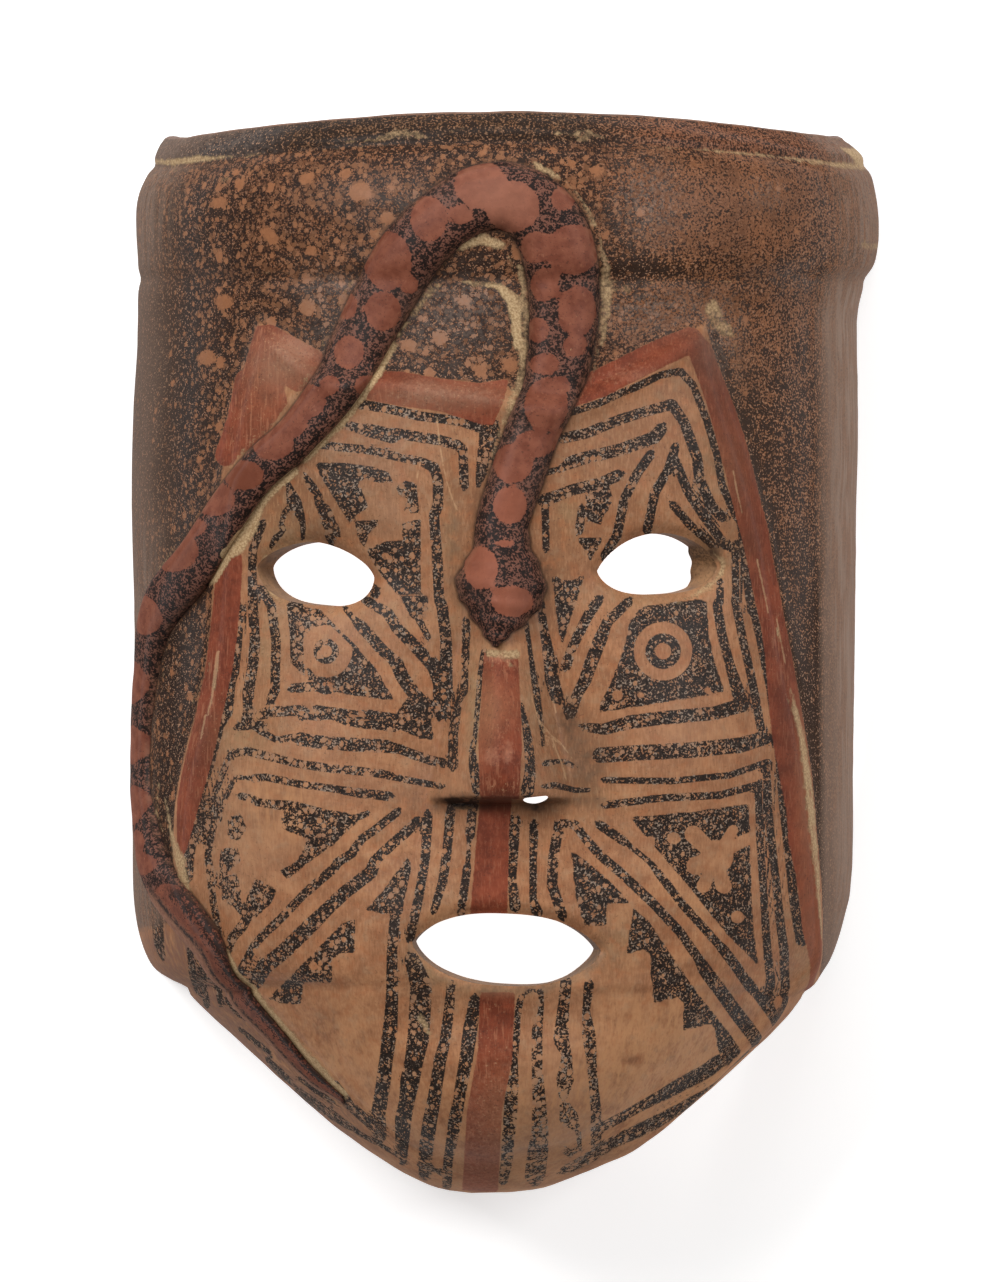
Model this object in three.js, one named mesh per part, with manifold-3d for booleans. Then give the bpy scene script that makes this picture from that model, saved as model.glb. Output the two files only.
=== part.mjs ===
// Pottery mask: a hollow half-cylinder of fired clay, open behind and at the
// top, with a raised face panel, a wedge nose, cut-through eyes and mouth, a
// bulging neck band with a rolled lip, and a flat snake laid over the forehead.
//
// The mask lies on the flat rims of its two side walls. +Z points out of the
// face, +Y to the top of the mask, +X to the right seen from the front.
// All lengths are in millimetres.

import * as THREE from 'three';
import * as BufferGeometryUtils from 'three/addons/utils/BufferGeometryUtils.js';
import Module from 'manifold-3d';

// ---------------------------------------------------------------- sizes

const HEIGHT = 250;            // lip to chin
const UNIT = HEIGHT / 1083;    // one step of the front elevation's grid
const EYE_DISTANCE = 2400;     // viewpoint of the front elevation
const EYE_PLANE = 60;          // height where the elevation is true to size
const WALL = 6.6;              // thickness of the clay
const FRONT = 100;             // height of the front of the shell over its rim
const CHIN_FRONT = 60;         // height of the tip of the chin
const CHIN_RIM = 46;           // height of the rim under the chin
const JAW_RISE = 52;           // length over which the rim rises to the chin
const SHOULDER = 0.26;         // straight part of the side walls
const ROUND = 2.2;             // exponent of the arch
const HALF_WIDTH = 84;

const PANEL_STEP = 2.6;        // face panel over the cylinder
const NOSE_HEIGHT = 17;
const SNAKE_HEIGHT = 4.2;
const SNAKE_SINK = 3;

const COLS = 50, ROWS = 52;    // facets of the outer face
const SNAKE_STEPS = 84;

// the elevation's grid has its origin at the upper left
const X = u => (u - 504) * UNIT;
const Y = v => (651.5 - v) * UNIT;

// ---------------------------------------------------------------- helpers

const clamp = (v, a = 0, b = 1) => Math.min(b, Math.max(a, v));
const mix = (a, b, t) => a + (b - a) * t;
const smooth = (a, b, v) => { const t = clamp((v - a) / (b - a)); return t * t * (3 - 2 * t); };
const bell = (dx, dy, rx, ry) => Math.exp(-(dx * dx) / (rx * rx) - (dy * dy) / (ry * ry));

// smooth curve through rows [x, y]
function curve(rows, x) {
  const n = rows.length;
  if (x <= rows[0][0]) return rows[0][1];
  if (x >= rows[n - 1][0]) return rows[n - 1][1];
  let i = 0;
  while (rows[i + 1][0] < x) i++;
  const slope = k => {
    if (k <= 0) return (rows[1][1] - rows[0][1]) / (rows[1][0] - rows[0][0]);
    if (k >= n - 1) return (rows[n - 1][1] - rows[n - 2][1]) / (rows[n - 1][0] - rows[n - 2][0]);
    return (rows[k + 1][1] - rows[k - 1][1]) / (rows[k + 1][0] - rows[k - 1][0]);
  };
  const [x0, y0] = rows[i], [x1, y1] = rows[i + 1], h = x1 - x0, t = (x - x0) / h;
  const t2 = t * t, t3 = t2 * t;
  return (2 * t3 - 3 * t2 + 1) * y0 + (t3 - 2 * t2 + t) * h * slope(i)
    + (3 * t2 - 2 * t3) * y1 + (t3 - t2) * h * slope(i + 1);
}

// ---------------------------------------------------------------- outline

// left and right outline of the shell as [v, u] on the front elevation, from the
// tip of the chin up; they are spaced by the root of the height over the chin
const LEFT_EDGE = [[1193, 490], [1190, 451], [1180, 419], [1160, 382], [1140, 354], [1120, 328], [1080, 282],
  [1040, 238], [1020, 216], [1004, 199], [994, 190], [987, 187], [980, 172], [970, 157], [955, 147], [935, 140],
  [910, 135], [880, 133], [820, 133], [760, 134], [640, 135], [520, 132], [460, 132], [400, 134], [330, 138], [110, 139]];
const RIGHT_EDGE = [[1193, 494], [1190, 531], [1180, 563], [1160, 607], [1140, 645], [1120, 674], [1100, 698],
  [1060, 743], [1020, 784], [1000, 800], [991, 805], [986, 812], [975, 820], [960, 830], [940, 838], [915, 845],
  [890, 850], [840, 853], [760, 853], [640, 855], [520, 856], [440, 858], [340, 857], [110, 857]];
const rootRows = rows => rows.map(([v, u]) => [Math.sqrt(Math.max(0, Y(v) + 125)), X(u)]);
const LEFT_X = rootRows(LEFT_EDGE), RIGHT_X = rootRows(RIGHT_EDGE);
// how far the neck band stands out of the cylinder, at the left and right side
const BAND_LEFT = [[80, 0], [90, 0.1], [98, 0.5], [105, 0.5], [110, -0.2], [115, -2], [120, -3.8], [123, -5], [125, -6.6]];
const BAND_RIGHT = [[76, 0], [80, 0.5], [85, 2], [90, 4.2], [95, 5], [100, 5.2], [105, 5], [110, 4.4],
  [115, 3.4], [120, 1.4], [123, -1.6], [125, -5]];

const overChin = y => Math.sqrt(Math.max(0, y + 125));
const jaw = y => clamp((JAW_RISE - y - 125) / JAW_RISE);
const frontOf = y => {
  const r = clamp(1 - overChin(y) / 7.6);
  return FRONT - (FRONT - CHIN_FRONT) * Math.pow(r, 2.2) - 4 * smooth(20, 110, y);
};
const rimOf = y => CHIN_RIM * Math.pow(jaw(y), 1.6);

// half of the arched section at height y: points from the front to the rim
const SECTION_STEPS = 96;
const sections = new Map();
function section(y) {
  const key = Math.round(y * 1e4);
  if (sections.has(key)) return sections.get(key);
  const xl = curve(LEFT_X, overChin(y)), xr = curve(RIGHT_X, overChin(y));
  const w = (xr - xl) / 2, front = frontOf(y), rim = rimOf(y);
  const shoulder = mix(rim, front, SHOULDER);
  const pts = [];
  for (let k = 0; k <= SECTION_STEPS; k++) {
    const q = (k / SECTION_STEPS) * Math.PI / 2;
    pts.push([w * Math.pow(Math.sin(q), 2 / ROUND), shoulder + (front - shoulder) * Math.pow(Math.max(0, Math.cos(q)), 2 / ROUND)]);
  }
  for (let k = 1; k <= 12; k++) pts.push([w, mix(shoulder, rim, k / 12)]);
  const run = [0];
  for (let k = 1; k < pts.length; k++) run.push(run[k - 1] + Math.hypot(pts[k][0] - pts[k - 1][0], pts[k][1] - pts[k - 1][1]));
  const s = { w, c: (xl + xr) / 2, pts, run, length: run[run.length - 1] };
  sections.set(key, s);
  return s;
}

// point of the section at arc fraction a, -1 at the left rim, 1 at the right
function onSection(a, y) {
  const s = section(y), want = Math.abs(a) * s.length;
  let lo = 0, hi = s.run.length - 1;
  while (hi - lo > 1) { const m = (lo + hi) >> 1; if (s.run[m] <= want) lo = m; else hi = m; }
  const t = (want - s.run[lo]) / (s.run[hi] - s.run[lo]);
  const x = mix(s.pts[lo][0], s.pts[hi][0], t), z = mix(s.pts[lo][1], s.pts[hi][1], t);
  return { x: s.c + Math.sign(a) * x, z, side: x / s.w, c: s.c, length: s.length };
}

// arc fraction of the section whose x is given
function across(x, y) {
  const s = section(y), want = Math.abs(x - s.c);
  let lo = 0, hi = SECTION_STEPS;
  if (want >= s.w) return Math.sign(x - s.c) * s.run[SECTION_STEPS] / s.length;
  while (hi - lo > 1) { const m = (lo + hi) >> 1; if (s.pts[m][0] <= want) lo = m; else hi = m; }
  const t = (want - s.pts[lo][0]) / (s.pts[hi][0] - s.pts[lo][0]);
  return Math.sign(x - s.c) * mix(s.run[lo], s.run[hi], t) / s.length;
}

// the lip dips a little towards the sides
const dip = (x, y) => -24 * UNIT * Math.pow((x - 0.3) / 76, 2) * smooth(84, 125, y);

// bare wall, without relief
function bare(a, y) {
  const p = onSection(a, y);
  const yy = y + dip(clamp(p.x, -80, 80), y);
  const f = (EYE_DISTANCE - p.z) / (EYE_DISTANCE - EYE_PLANE);
  return new THREE.Vector3(p.x * f, yy * f, p.z);
}

function normalAt(a, y) {
  const e = 0.004, d = 0.25;
  const lo = Math.max(y - d, -124.7), hi = Math.min(y + d, 124.9);
  const du = bare(clamp(a + e, -1, 1), y).sub(bare(clamp(a - e, -1, 1), y));
  const dv = bare(a, hi).sub(bare(a, lo));
  return du.cross(dv).normalize();
}

// ---------------------------------------------------------------- relief

const PANEL_LEFT = [[-125, X(440)], [Y(1150), X(400)], [Y(1100), X(346)], [Y(1038), X(290)], [Y(990), X(247)],
  [Y(950), X(210)], [Y(920), X(190)], [Y(880), X(178)], [Y(820), X(178)], [Y(740), X(188)],
  [Y(650), X(200)], [Y(560), X(214)], [Y(470), X(224)], [Y(400), X(240)], [Y(327), X(262)]];
const PANEL_RIGHT = [[-125, X(815)], [Y(920), X(815)], [Y(860), X(812)], [Y(800), X(806)], [Y(740), X(799)],
  [Y(680), X(789)], [Y(600), X(775)], [Y(540), X(765)], [Y(470), X(745)], [Y(400), X(722)], [Y(327), X(703)]];
const PANEL_TOP = [[X(250), Y(318)], [X(262), Y(327)], [X(320), Y(370)], [X(385), Y(375)], [X(440), Y(383)],
  [X(500), Y(392)], [X(560), Y(400)], [X(600), Y(386)], [X(650), Y(358)], [X(703), Y(327)], [X(715), Y(318)]];

function relief(x, y) {
  // raised face panel, its border a soft ridge
  const inside = Math.min(x - curve(PANEL_LEFT, y), curve(PANEL_RIGHT, y) - x, curve(PANEL_TOP, x) - y);
  const s = section(y), low = smooth(-62, -80, y);
  const chin = mix(1, smooth(0, 0.1, 1 - Math.abs(x - s.c) / s.w) * smooth(-124, -112, y), low);
  let h = PANEL_STEP * smooth(-2.5, 2.5, inside) * chin;
  h += 1.1 * Math.exp(-Math.pow((inside - 2.5) / 3.2, 2)) * chin;
  // nose: a wedge that widens downwards and ends in a sharp drop
  const nx = x - X(501), top = Y(520), foot = Y(798);
  if (y < top) {
    const t = clamp((top - y) / (top - foot));
    const half = mix(5.5, 17, Math.pow(t, 1.25)), high = NOSE_HEIGHT * Math.pow(t, 1.15);
    const u = clamp(Math.abs(nx) / half);
    const drop = 1 - smooth(foot + 0.4, foot - 1.6, y);
    const cut = y < foot + 0.4 ? smooth(foot - 1.6, foot + 0.4, y) : 1;
    h += high * Math.pow(1 - u * u, 1.15) * (y < foot - 1.6 ? 0 : cut) * (drop > 0 ? 1 : 1);
  }
  // eye hollows, cheeks, muzzle and chin
  h -= 3.2 * (bell(x - X(650), y - Y(572), 19, 12) + bell(x - X(330), y - Y(576), 19, 12));
  h += 3 * (bell(x - X(268), y - Y(775), 19, 22) + bell(x - X(690), y - Y(755), 19, 24));
  h += 3.4 * bell(x - X(502), y - Y(935), 30, 21);
  h -= 1.8 * bell(x - X(500), y - Y(1018), 30, 7);
  h += 2.4 * bell(x - X(497), y - Y(1085), 20, 14);
  return h;
}

const noseHollow = (x, y) => 0.42 * NOSE_HEIGHT * bell(x - X(501), y - Y(755), 11, 16);

function bandOut(a, y) {
  return mix(curve(BAND_LEFT, y), curve(BAND_RIGHT, y), smooth(-1, 1, a))
    // rolled lip over a shallow groove
    - 0.9 * Math.exp(-Math.pow((y - 116.5) / 1.7, 2))
    // crease under the band
    - 0.6 * Math.exp(-Math.pow((y - 86) / 1.8, 2));
}

// outer face with everything on it; lift is a further height over the wall
function outer(a, y, lift = 0) {
  const p = onSection(a, y), base = bare(a, y), n = normalAt(a, y);
  base.addScaledVector(n, bandOut(a, y));
  const sight = new THREE.Vector3(-base.x, -base.y, EYE_DISTANCE - base.z).normalize();
  const turn = smooth(0.75, 0.97, p.side);
  const dir = sight.multiplyScalar(1 - turn).addScaledVector(n, turn).normalize();
  const fade = 1 - smooth(0.985, 1, p.side) * smooth(30, 22, p.z);
  const out = base.addScaledVector(dir, relief(p.x, y) * fade + lift);
  if (Math.abs(a) === 1) out.z = rimOf(y);
  return out;
}

// inner face: the wall drawn in by its thickness
function inner(a, y) {
  const p = onSection(a, y), base = bare(a, y);
  base.addScaledVector(normalAt(a, y), bandOut(a, y) * 0.9);
  const z = Math.abs(a) === 1 ? rimOf(y) : base.z;
  return new THREE.Vector3(
    p.c + (base.x - p.c) * (1 - WALL / HALF_WIDTH),
    base.y + 0.75 * WALL * Math.pow(jaw(y), 1.3),
    z * (1 - WALL / FRONT) + (Math.abs(a) === 1 ? z * WALL / FRONT : noseHollow(p.x, y)));
}

// ---------------------------------------------------------------- shell

// rows of the lattice: even, but closer at the lip, the nose's foot and the chin
function rowHeights() {
  const knots = [[0, 123.8], [0.035, 120.5], [0.075, 116.5], [0.12, 110], [0.2, 96], [0.27, 85.5], [0.33, 76],
    [0.66, Y(791)], [0.685, Y(797.5)], [0.71, Y(806)], [0.76, -47], [0.86, -85], [0.93, -108], [0.965, -117],
    [0.985, -122.4], [1, -124.85]];
  const rows = [];
  for (let j = 0; j <= ROWS; j++) {
    const t = j / ROWS;
    let k = 0;
    while (k < knots.length - 2 && knots[k + 1][0] < t) k++;
    rows.push(mix(knots[k][1], knots[k + 1][1], (t - knots[k][0]) / (knots[k + 1][0] - knots[k][0])));
  }
  return rows;
}

function shellGeometry() {
  const heights = rowHeights(), pos = [], tris = [];
  const put = v => { pos.push(v.x, v.y, v.z); return pos.length / 3 - 1; };
  const column = i => { const u = 2 * i / COLS - 1; return Math.abs(u) === 1 ? u : u * (0.86 + 0.14 * u * u); };
  const out = heights.map(y => Array.from({ length: COLS + 1 }, (_, i) => put(outer(column(i), y))));
  const into = [];
  for (let j = 0; j <= ROWS; j += 2)
    into.push(Array.from({ length: COLS / 2 + 1 }, (_, i) => put(inner(column(2 * i), heights[j]))));
  const R = into.length - 1, C = COLS / 2;
  const quad = (a, b, c, d) => tris.push(a, b, c, a, c, d);
  for (let j = 0; j < ROWS; j++) for (let i = 0; i < COLS; i++)
    quad(out[j][i], out[j + 1][i], out[j + 1][i + 1], out[j][i + 1]);
  for (let j = 0; j < R; j++) for (let i = 0; i < C; i++)
    quad(into[j][i], into[j][i + 1], into[j + 1][i + 1], into[j + 1][i]);
  // both faces close under the chin
  const zip = (row, n, flip) => {
    for (let i = 0; i < n / 2; i++) {
      const a = row[i], b = row[i + 1], c = row[n - i - 1], d = row[n - i];
      if (b === c) { flip ? tris.push(a, b, d) : tris.push(a, d, b); continue; }
      flip ? quad(a, b, c, d) : quad(a, d, c, b);
    }
  };
  zip(out[ROWS], COLS, false);
  zip(into[R], C, true);
  // rims between the faces: two outer facets to one inner facet
  const stitch = (o, n, flip) => {
    for (let i = 0; i + 1 < n.length; i++) {
      const a = o[2 * i], m = o[2 * i + 1], b = o[2 * i + 2], p = n[i], q = n[i + 1];
      for (const t of [[a, m, p], [m, q, p], [m, b, q]]) flip ? tris.push(t[0], t[2], t[1]) : tris.push(...t);
    }
  };
  stitch(out.map(r => r[0]), into.map(r => r[0]), true);
  stitch(out.map(r => r[COLS]), into.map(r => r[C]), false);
  quad(out[ROWS][0], into[R][0], into[R][C], out[ROWS][COLS]);
  // rounded lip
  const crown = out[0].map((id, i) => {
    const a = column(i), o = outer(a, heights[0]), n = inner(a, heights[0]);
    const m = o.lerp(n, 0.45); m.y += 1.3; return put(m);
  });
  for (let i = 0; i < COLS; i++) quad(crown[i], out[0][i], out[0][i + 1], crown[i + 1]);
  stitch(crown, into[0], false);
  tris.push(out[0][0], crown[0], into[0][0]);
  tris.push(out[0][COLS], into[0][C], crown[COLS]);
  return geometryOf(pos, tris);
}

function geometryOf(pos, tris) {
  const g = new THREE.BufferGeometry();
  g.setAttribute('position', new THREE.BufferAttribute(new Float32Array(pos), 3));
  g.setIndex(tris);
  return g;
}

// ---------------------------------------------------------------- openings

// edge of an opening: unequal arcs over and under its middle line
function edge({ x, y, half, up, down, pu, qu, pd, qd, tilt = 0, steps = 28 }) {
  const pts = [];
  for (let k = 0; k < steps; k++) {
    const q = 2 * Math.PI * k / steps, u = Math.cos(q);
    const high = Math.sin(q) >= 0
      ? up * Math.pow(1 - Math.pow(Math.abs(u), pu), qu) : -down * Math.pow(1 - Math.pow(Math.abs(u), pd), qd);
    pts.push([X(x + half * u), Y(y - high + tilt * u)]);
  }
  return pts;
}
const RIGHT_EYE = { x: 659, y: 569, half: 61, up: 36, down: 25, pu: 2.1, qu: 0.8, pd: 3, qd: 0.7, tilt: -2 };
const LEFT_EYE = { x: 315, y: 573, half: 58, up: 31, down: 32, pu: 1.7, qu: 0.65, pd: 3, qd: 0.55, tilt: 5 };
const MOUTH = { x: 506, y: 946, half: 92.5, up: 33, down: 39, pu: 2.6, qu: 0.8, pd: 2.5, qd: 0.7, tilt: 4 };
const RIGHT_NOSTRIL = { x: 535, y: 800, half: 12, up: 4, down: 5, pu: 2, qu: 0.5, pd: 2, qd: 0.5, steps: 8, slope: 0 };
const LEFT_NOSTRIL = { x: 463, y: 799, half: 11, up: 4, down: 4, pu: 2, qu: 0.5, pd: 2, qd: 0.5, steps: 8, slope: 0.5 };

// cutter through the wall: square to it along the edge, or, for a nostril,
// one straight way that rises into the nose by the given slope
function cutterGeometry(opening) {
  const pts = edge(opening), n = pts.length, pos = [], tris = [];
  const mid = across(X(opening.x), Y(opening.y)), middle = normalAt(mid, Y(opening.y));
  for (const [x, y] of pts) {
    const a = across(x, y), p = bare(a, y), dir = opening.slope !== undefined ? new THREE.Vector3(0, -opening.slope, 1).normalize() : normalAt(a, y).lerp(middle, 0.35).normalize();
    const o = p.clone().addScaledVector(dir, 26), i = p.clone().addScaledVector(dir, -22);
    pos.push(o.x, o.y, o.z, i.x, i.y, i.z);
  }
  const centre = k => { let s = [0, 0, 0]; for (let i = 0; i < n; i++) for (let c = 0; c < 3; c++) s[c] += pos[6 * i + 3 * k + c] / n; return s; };
  pos.push(...centre(0), ...centre(1));
  for (let i = 0; i < n; i++) {
    const j = (i + 1) % n;
    tris.push(2 * i, 2 * i + 1, 2 * j + 1, 2 * i, 2 * j + 1, 2 * j, 2 * n, 2 * i, 2 * j, 2 * n + 1, 2 * j + 1, 2 * i + 1);
  }
  return geometryOf(pos, tris);
}

// ---------------------------------------------------------------- snake

// middle line and half width of the body, from the head to the tip of the tail
const SNAKE = [[495, 646, 3, 0.5], [496, 634, 14, 0.8], [498, 618, 30, 1.1], [500, 600, 43, 1.4], [501, 583, 47, 1.6],
  [502, 565, 39, 1.5], [502, 545, 29, 1.25], [503, 520, 27, 1],
  [519, 470, 28, 1], [533, 430, 28, 1], [548, 397, 29, 1], [559, 360, 33, 1], [564, 310, 36, 1], [561, 270, 37, 1],
  [548, 228, 37, 1], [520, 201, 36, 1], [485, 198, 35, 1], [450, 215, 33, 1], [412, 252, 33, 1], [382, 300, 32, 1],
  [358, 345, 31, 1], [335, 388, 27, 1], [295, 437, 24, 1], [255, 474, 24, 1], [220, 522, 27, 1], [192, 568, 30, 1],
  [162, 615, 33, 0.9], [152, 680, 33, 0.75], [147, 745, 33, 0.7], [149, 807, 33, 0.7], [160, 862, 32, 0.8], [182, 905, 28, 0.9],
  [208, 945, 24, 0.9], [240, 992, 20, 0.8], [277, 1035, 16, 0.7], [312, 1073, 11, 0.6], [344, 1100, 5, 0.4]];

function snakeGeometry() {
  const knots = SNAKE.map(([u, v, w, h]) => {
    const x = X(u), y = Y(v);
    return new THREE.Vector4(across(x, y) * section(y).length, y, w * UNIT, h);
  });
  // centripetal runs along the middle line
  const line = new THREE.CatmullRomCurve3(knots.map(k => new THREE.Vector3(k.x, k.y, 0)), false, 'catmullrom', 0.5);
  const at = t => {
    const p = line.getPoint(t), f = t * (knots.length - 1), i = Math.min(Math.floor(f), knots.length - 2), s = f - i;
    const e = s * s * (3 - 2 * s);
    return { s: p.x, y: p.y, w: mix(knots[i].z, knots[i + 1].z, e), h: mix(knots[i].w, knots[i + 1].w, e) };
  };
  const profile = [[-1, -0.25], [-0.9, 0.55], [-0.55, 0.95], [0, 1.06], [0.55, 0.95], [0.9, 0.55], [1, -0.25]];
  const pos = [], tris = [], m = profile.length + 2;
  for (let k = 0; k <= SNAKE_STEPS; k++) {
    const t = k / SNAKE_STEPS, p = at(t), q0 = at(Math.max(0, t - 0.004)), q1 = at(Math.min(1, t + 0.004));
    const ds = q1.s - q0.s, dy = q1.y - q0.y, l = Math.hypot(ds, dy);
    const point = (v, lift) => {
      const s = p.s + v * p.w * dy / l, y = p.y - v * p.w * ds / l;
      const g = outer(clamp(s / section(y).length, -0.999, 0.999), y, lift);
      pos.push(g.x, g.y, g.z);
    };
    for (const [v, e] of profile) point(v, e * SNAKE_HEIGHT * p.h);
    point(0.8, -SNAKE_SINK); point(-0.8, -SNAKE_SINK);
  }
  for (let k = 0; k < SNAKE_STEPS; k++) for (let i = 0; i < m; i++) {
    const a = k * m + i, b = k * m + (i + 1) % m, c = a + m, d = b + m;
    tris.push(a, d, c, a, b, d);
  }
  for (let i = 1; i + 1 < m; i++) {
    tris.push(0, i + 1, i);
    const e = SNAKE_STEPS * m;
    tris.push(e, e + i, e + i + 1);
  }
  return geometryOf(pos, tris);
}

// ---------------------------------------------------------------- assembly

const wasm = await Module();
wasm.setup();

function solid(geometry) {
  const g = BufferGeometryUtils.mergeVertices(geometry, 1e-4);
  const make = index => new wasm.Manifold(new wasm.Mesh({
    numProp: 3, vertProperties: new Float32Array(g.attributes.position.array), triVerts: new Uint32Array(index) }));
  const m = make(g.index.array);
  if (m.volume() > 0) return m;
  const back = Array.from(g.index.array);
  for (let i = 0; i < back.length; i += 3) [back[i + 1], back[i + 2]] = [back[i + 2], back[i + 1]];
  return make(back);
}

let body = solid(shellGeometry()).add(solid(snakeGeometry()));
for (const hole of [RIGHT_EYE, LEFT_EYE, MOUTH, RIGHT_NOSTRIL, LEFT_NOSTRIL])
  body = body.subtract(solid(cutterGeometry(hole)));
body = body.decompose().reduce((a, b) => (a.volume() > b.volume() ? a : b));

const cut = body.getMesh();
let geometry = geometryOf(Array.from(cut.vertProperties), Array.from(cut.triVerts));
geometry.computeBoundingBox();
const box = geometry.boundingBox;
// origin under the middle of the mask, on the plane of its rims
geometry.translate(-(box.min.x + box.max.x) / 2, -(box.min.y + box.max.y) / 2, 0);
geometry.computeVertexNormals();

const clay = new THREE.MeshStandardMaterial({ color: 0x8a5b3f, roughness: 0.5, metalness: 0 });
const mask = new THREE.Mesh(geometry, clay);
mask.name = 'mask';

const group = new THREE.Group();
group.add(mask);
export default group;
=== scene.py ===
import math

import bpy
import numpy as np
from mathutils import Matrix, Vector
from mathutils.kdtree import KDTree


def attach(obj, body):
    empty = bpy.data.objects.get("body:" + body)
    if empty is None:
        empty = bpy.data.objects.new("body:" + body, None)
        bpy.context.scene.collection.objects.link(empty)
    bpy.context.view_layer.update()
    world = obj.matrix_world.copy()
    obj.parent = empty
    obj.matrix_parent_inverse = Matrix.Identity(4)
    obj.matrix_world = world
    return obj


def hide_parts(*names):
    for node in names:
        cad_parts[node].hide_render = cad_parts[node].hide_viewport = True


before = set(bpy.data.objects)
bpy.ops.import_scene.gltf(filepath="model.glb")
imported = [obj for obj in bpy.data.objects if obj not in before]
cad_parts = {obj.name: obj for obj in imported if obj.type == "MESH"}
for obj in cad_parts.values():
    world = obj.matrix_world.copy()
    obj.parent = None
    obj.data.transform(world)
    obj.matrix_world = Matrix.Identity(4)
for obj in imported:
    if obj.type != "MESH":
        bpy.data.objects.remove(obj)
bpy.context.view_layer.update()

# Painted pottery mask, lying on the rims of its side walls. Lengths in millimetres
# until the mesh is made. The outer face is a lattice over the shell's unrolled
# surface: a is the arc fraction across (-1 left rim, 1 right rim), y the height.
# The paint is drawn in the steps of the front elevation (u to the right, v down).

# ------------------------------------------------------------------ sizes

HEIGHT = 250.0
UNIT = HEIGHT / 1083
EYE_DISTANCE, EYE_PLANE = 2400.0, 60.0
WALL = 6.6
FRONT, CHIN_FRONT, CHIN_RIM, JAW_RISE = 100.0, 60.0, 46.0, 52.0
SHOULDER, ROUND, HALF_WIDTH = 0.26, 2.2, 84.0
PANEL_STEP, NOSE_HEIGHT = 2.6, 17.0
SNAKE_HEIGHT, SNAKE_SINK = 4.2, 3.0
SHIFT = (-0.3113, 1.2588)          # puts the origin under the middle of the box

HALF_COLS, ROWS, STEP = 144, 288, 4   # lattice; the inner face takes every fourth line
COLS = 2 * HALF_COLS
SNAKE_STEPS = 400


def X(u):
    return (np.asarray(u, float) - 504) * UNIT


def Y(v):
    return (651.5 - np.asarray(v, float)) * UNIT


def smooth(a, b, v):
    t = np.clip((np.asarray(v, float) - a) / (b - a), 0, 1)
    return t * t * (3 - 2 * t)


def mix(a, b, t):
    return a + (b - a) * t


def bell(dx, dy, rx, ry):
    return np.exp(-(dx * dx) / (rx * rx) - (dy * dy) / (ry * ry))


def curve(rows, x):
    """smooth curve through rows [x, y]"""
    r = np.asarray(rows, float)
    xs, ys = r[:, 0], r[:, 1]
    slope = np.empty(len(xs))
    slope[1:-1] = (ys[2:] - ys[:-2]) / (xs[2:] - xs[:-2])
    slope[0] = (ys[1] - ys[0]) / (xs[1] - xs[0])
    slope[-1] = (ys[-1] - ys[-2]) / (xs[-1] - xs[-2])
    x = np.clip(np.asarray(x, float), xs[0], xs[-1])
    i = np.clip(np.searchsorted(xs, x, side="left") - 1, 0, len(xs) - 2)
    h = xs[i + 1] - xs[i]
    t = (x - xs[i]) / h
    t2, t3 = t * t, t * t * t
    return ((2 * t3 - 3 * t2 + 1) * ys[i] + (t3 - 2 * t2 + t) * h * slope[i]
            + (3 * t2 - 2 * t3) * ys[i + 1] + (t3 - t2) * h * slope[i + 1])


# ------------------------------------------------------------------ outline

LEFT_EDGE = [[1193, 490], [1190, 451], [1180, 419], [1160, 382], [1140, 354], [1120, 328], [1080, 282],
             [1040, 238], [1020, 216], [1004, 199], [994, 190], [987, 187], [980, 172], [970, 157], [955, 147],
             [935, 140], [910, 135], [880, 133], [820, 133], [760, 134], [640, 135], [520, 132], [460, 132],
             [400, 134], [330, 138], [110, 139]]
RIGHT_EDGE = [[1193, 494], [1190, 531], [1180, 563], [1160, 607], [1140, 645], [1120, 674], [1100, 698],
              [1060, 743], [1020, 784], [1000, 800], [991, 805], [986, 812], [975, 820], [960, 830], [940, 838],
              [915, 845], [890, 850], [840, 853], [760, 853], [640, 855], [520, 856], [440, 858], [340, 857],
              [110, 857]]
BAND_LEFT = [[80, 0], [90, 0.1], [98, 0.5], [105, 0.5], [110, -0.2], [115, -2], [120, -3.8], [123, -5], [125, -6.6]]
BAND_RIGHT = [[76, 0], [80, 0.5], [85, 2], [90, 4.2], [95, 5], [100, 5.2], [105, 5], [110, 4.4],
              [115, 3.4], [120, 1.4], [123, -1.6], [125, -5]]


def over_chin(y):
    return np.sqrt(np.maximum(0, np.asarray(y, float) + 125))


def root_rows(rows):
    return [[float(over_chin(Y(v))), float(X(u))] for v, u in rows]


LEFT_X, RIGHT_X = root_rows(LEFT_EDGE), root_rows(RIGHT_EDGE)


def jaw(y):
    return np.clip((JAW_RISE - y - 125) / JAW_RISE, 0, 1)


def front_of(y):
    r = np.clip(1 - over_chin(y) / 7.6, 0, 1)
    return FRONT - (FRONT - CHIN_FRONT) * r ** 2.2 - 4 * smooth(20, 110, y)


def rim_of(y):
    return CHIN_RIM * jaw(y) ** 1.6


Q = np.arange(97) / 96 * np.pi / 2
SIN_Q, COS_Q = np.sin(Q) ** (2 / ROUND), np.maximum(0, np.cos(Q)) ** (2 / ROUND)
DOWN = np.arange(1, 13) / 12
sections = {}


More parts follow.
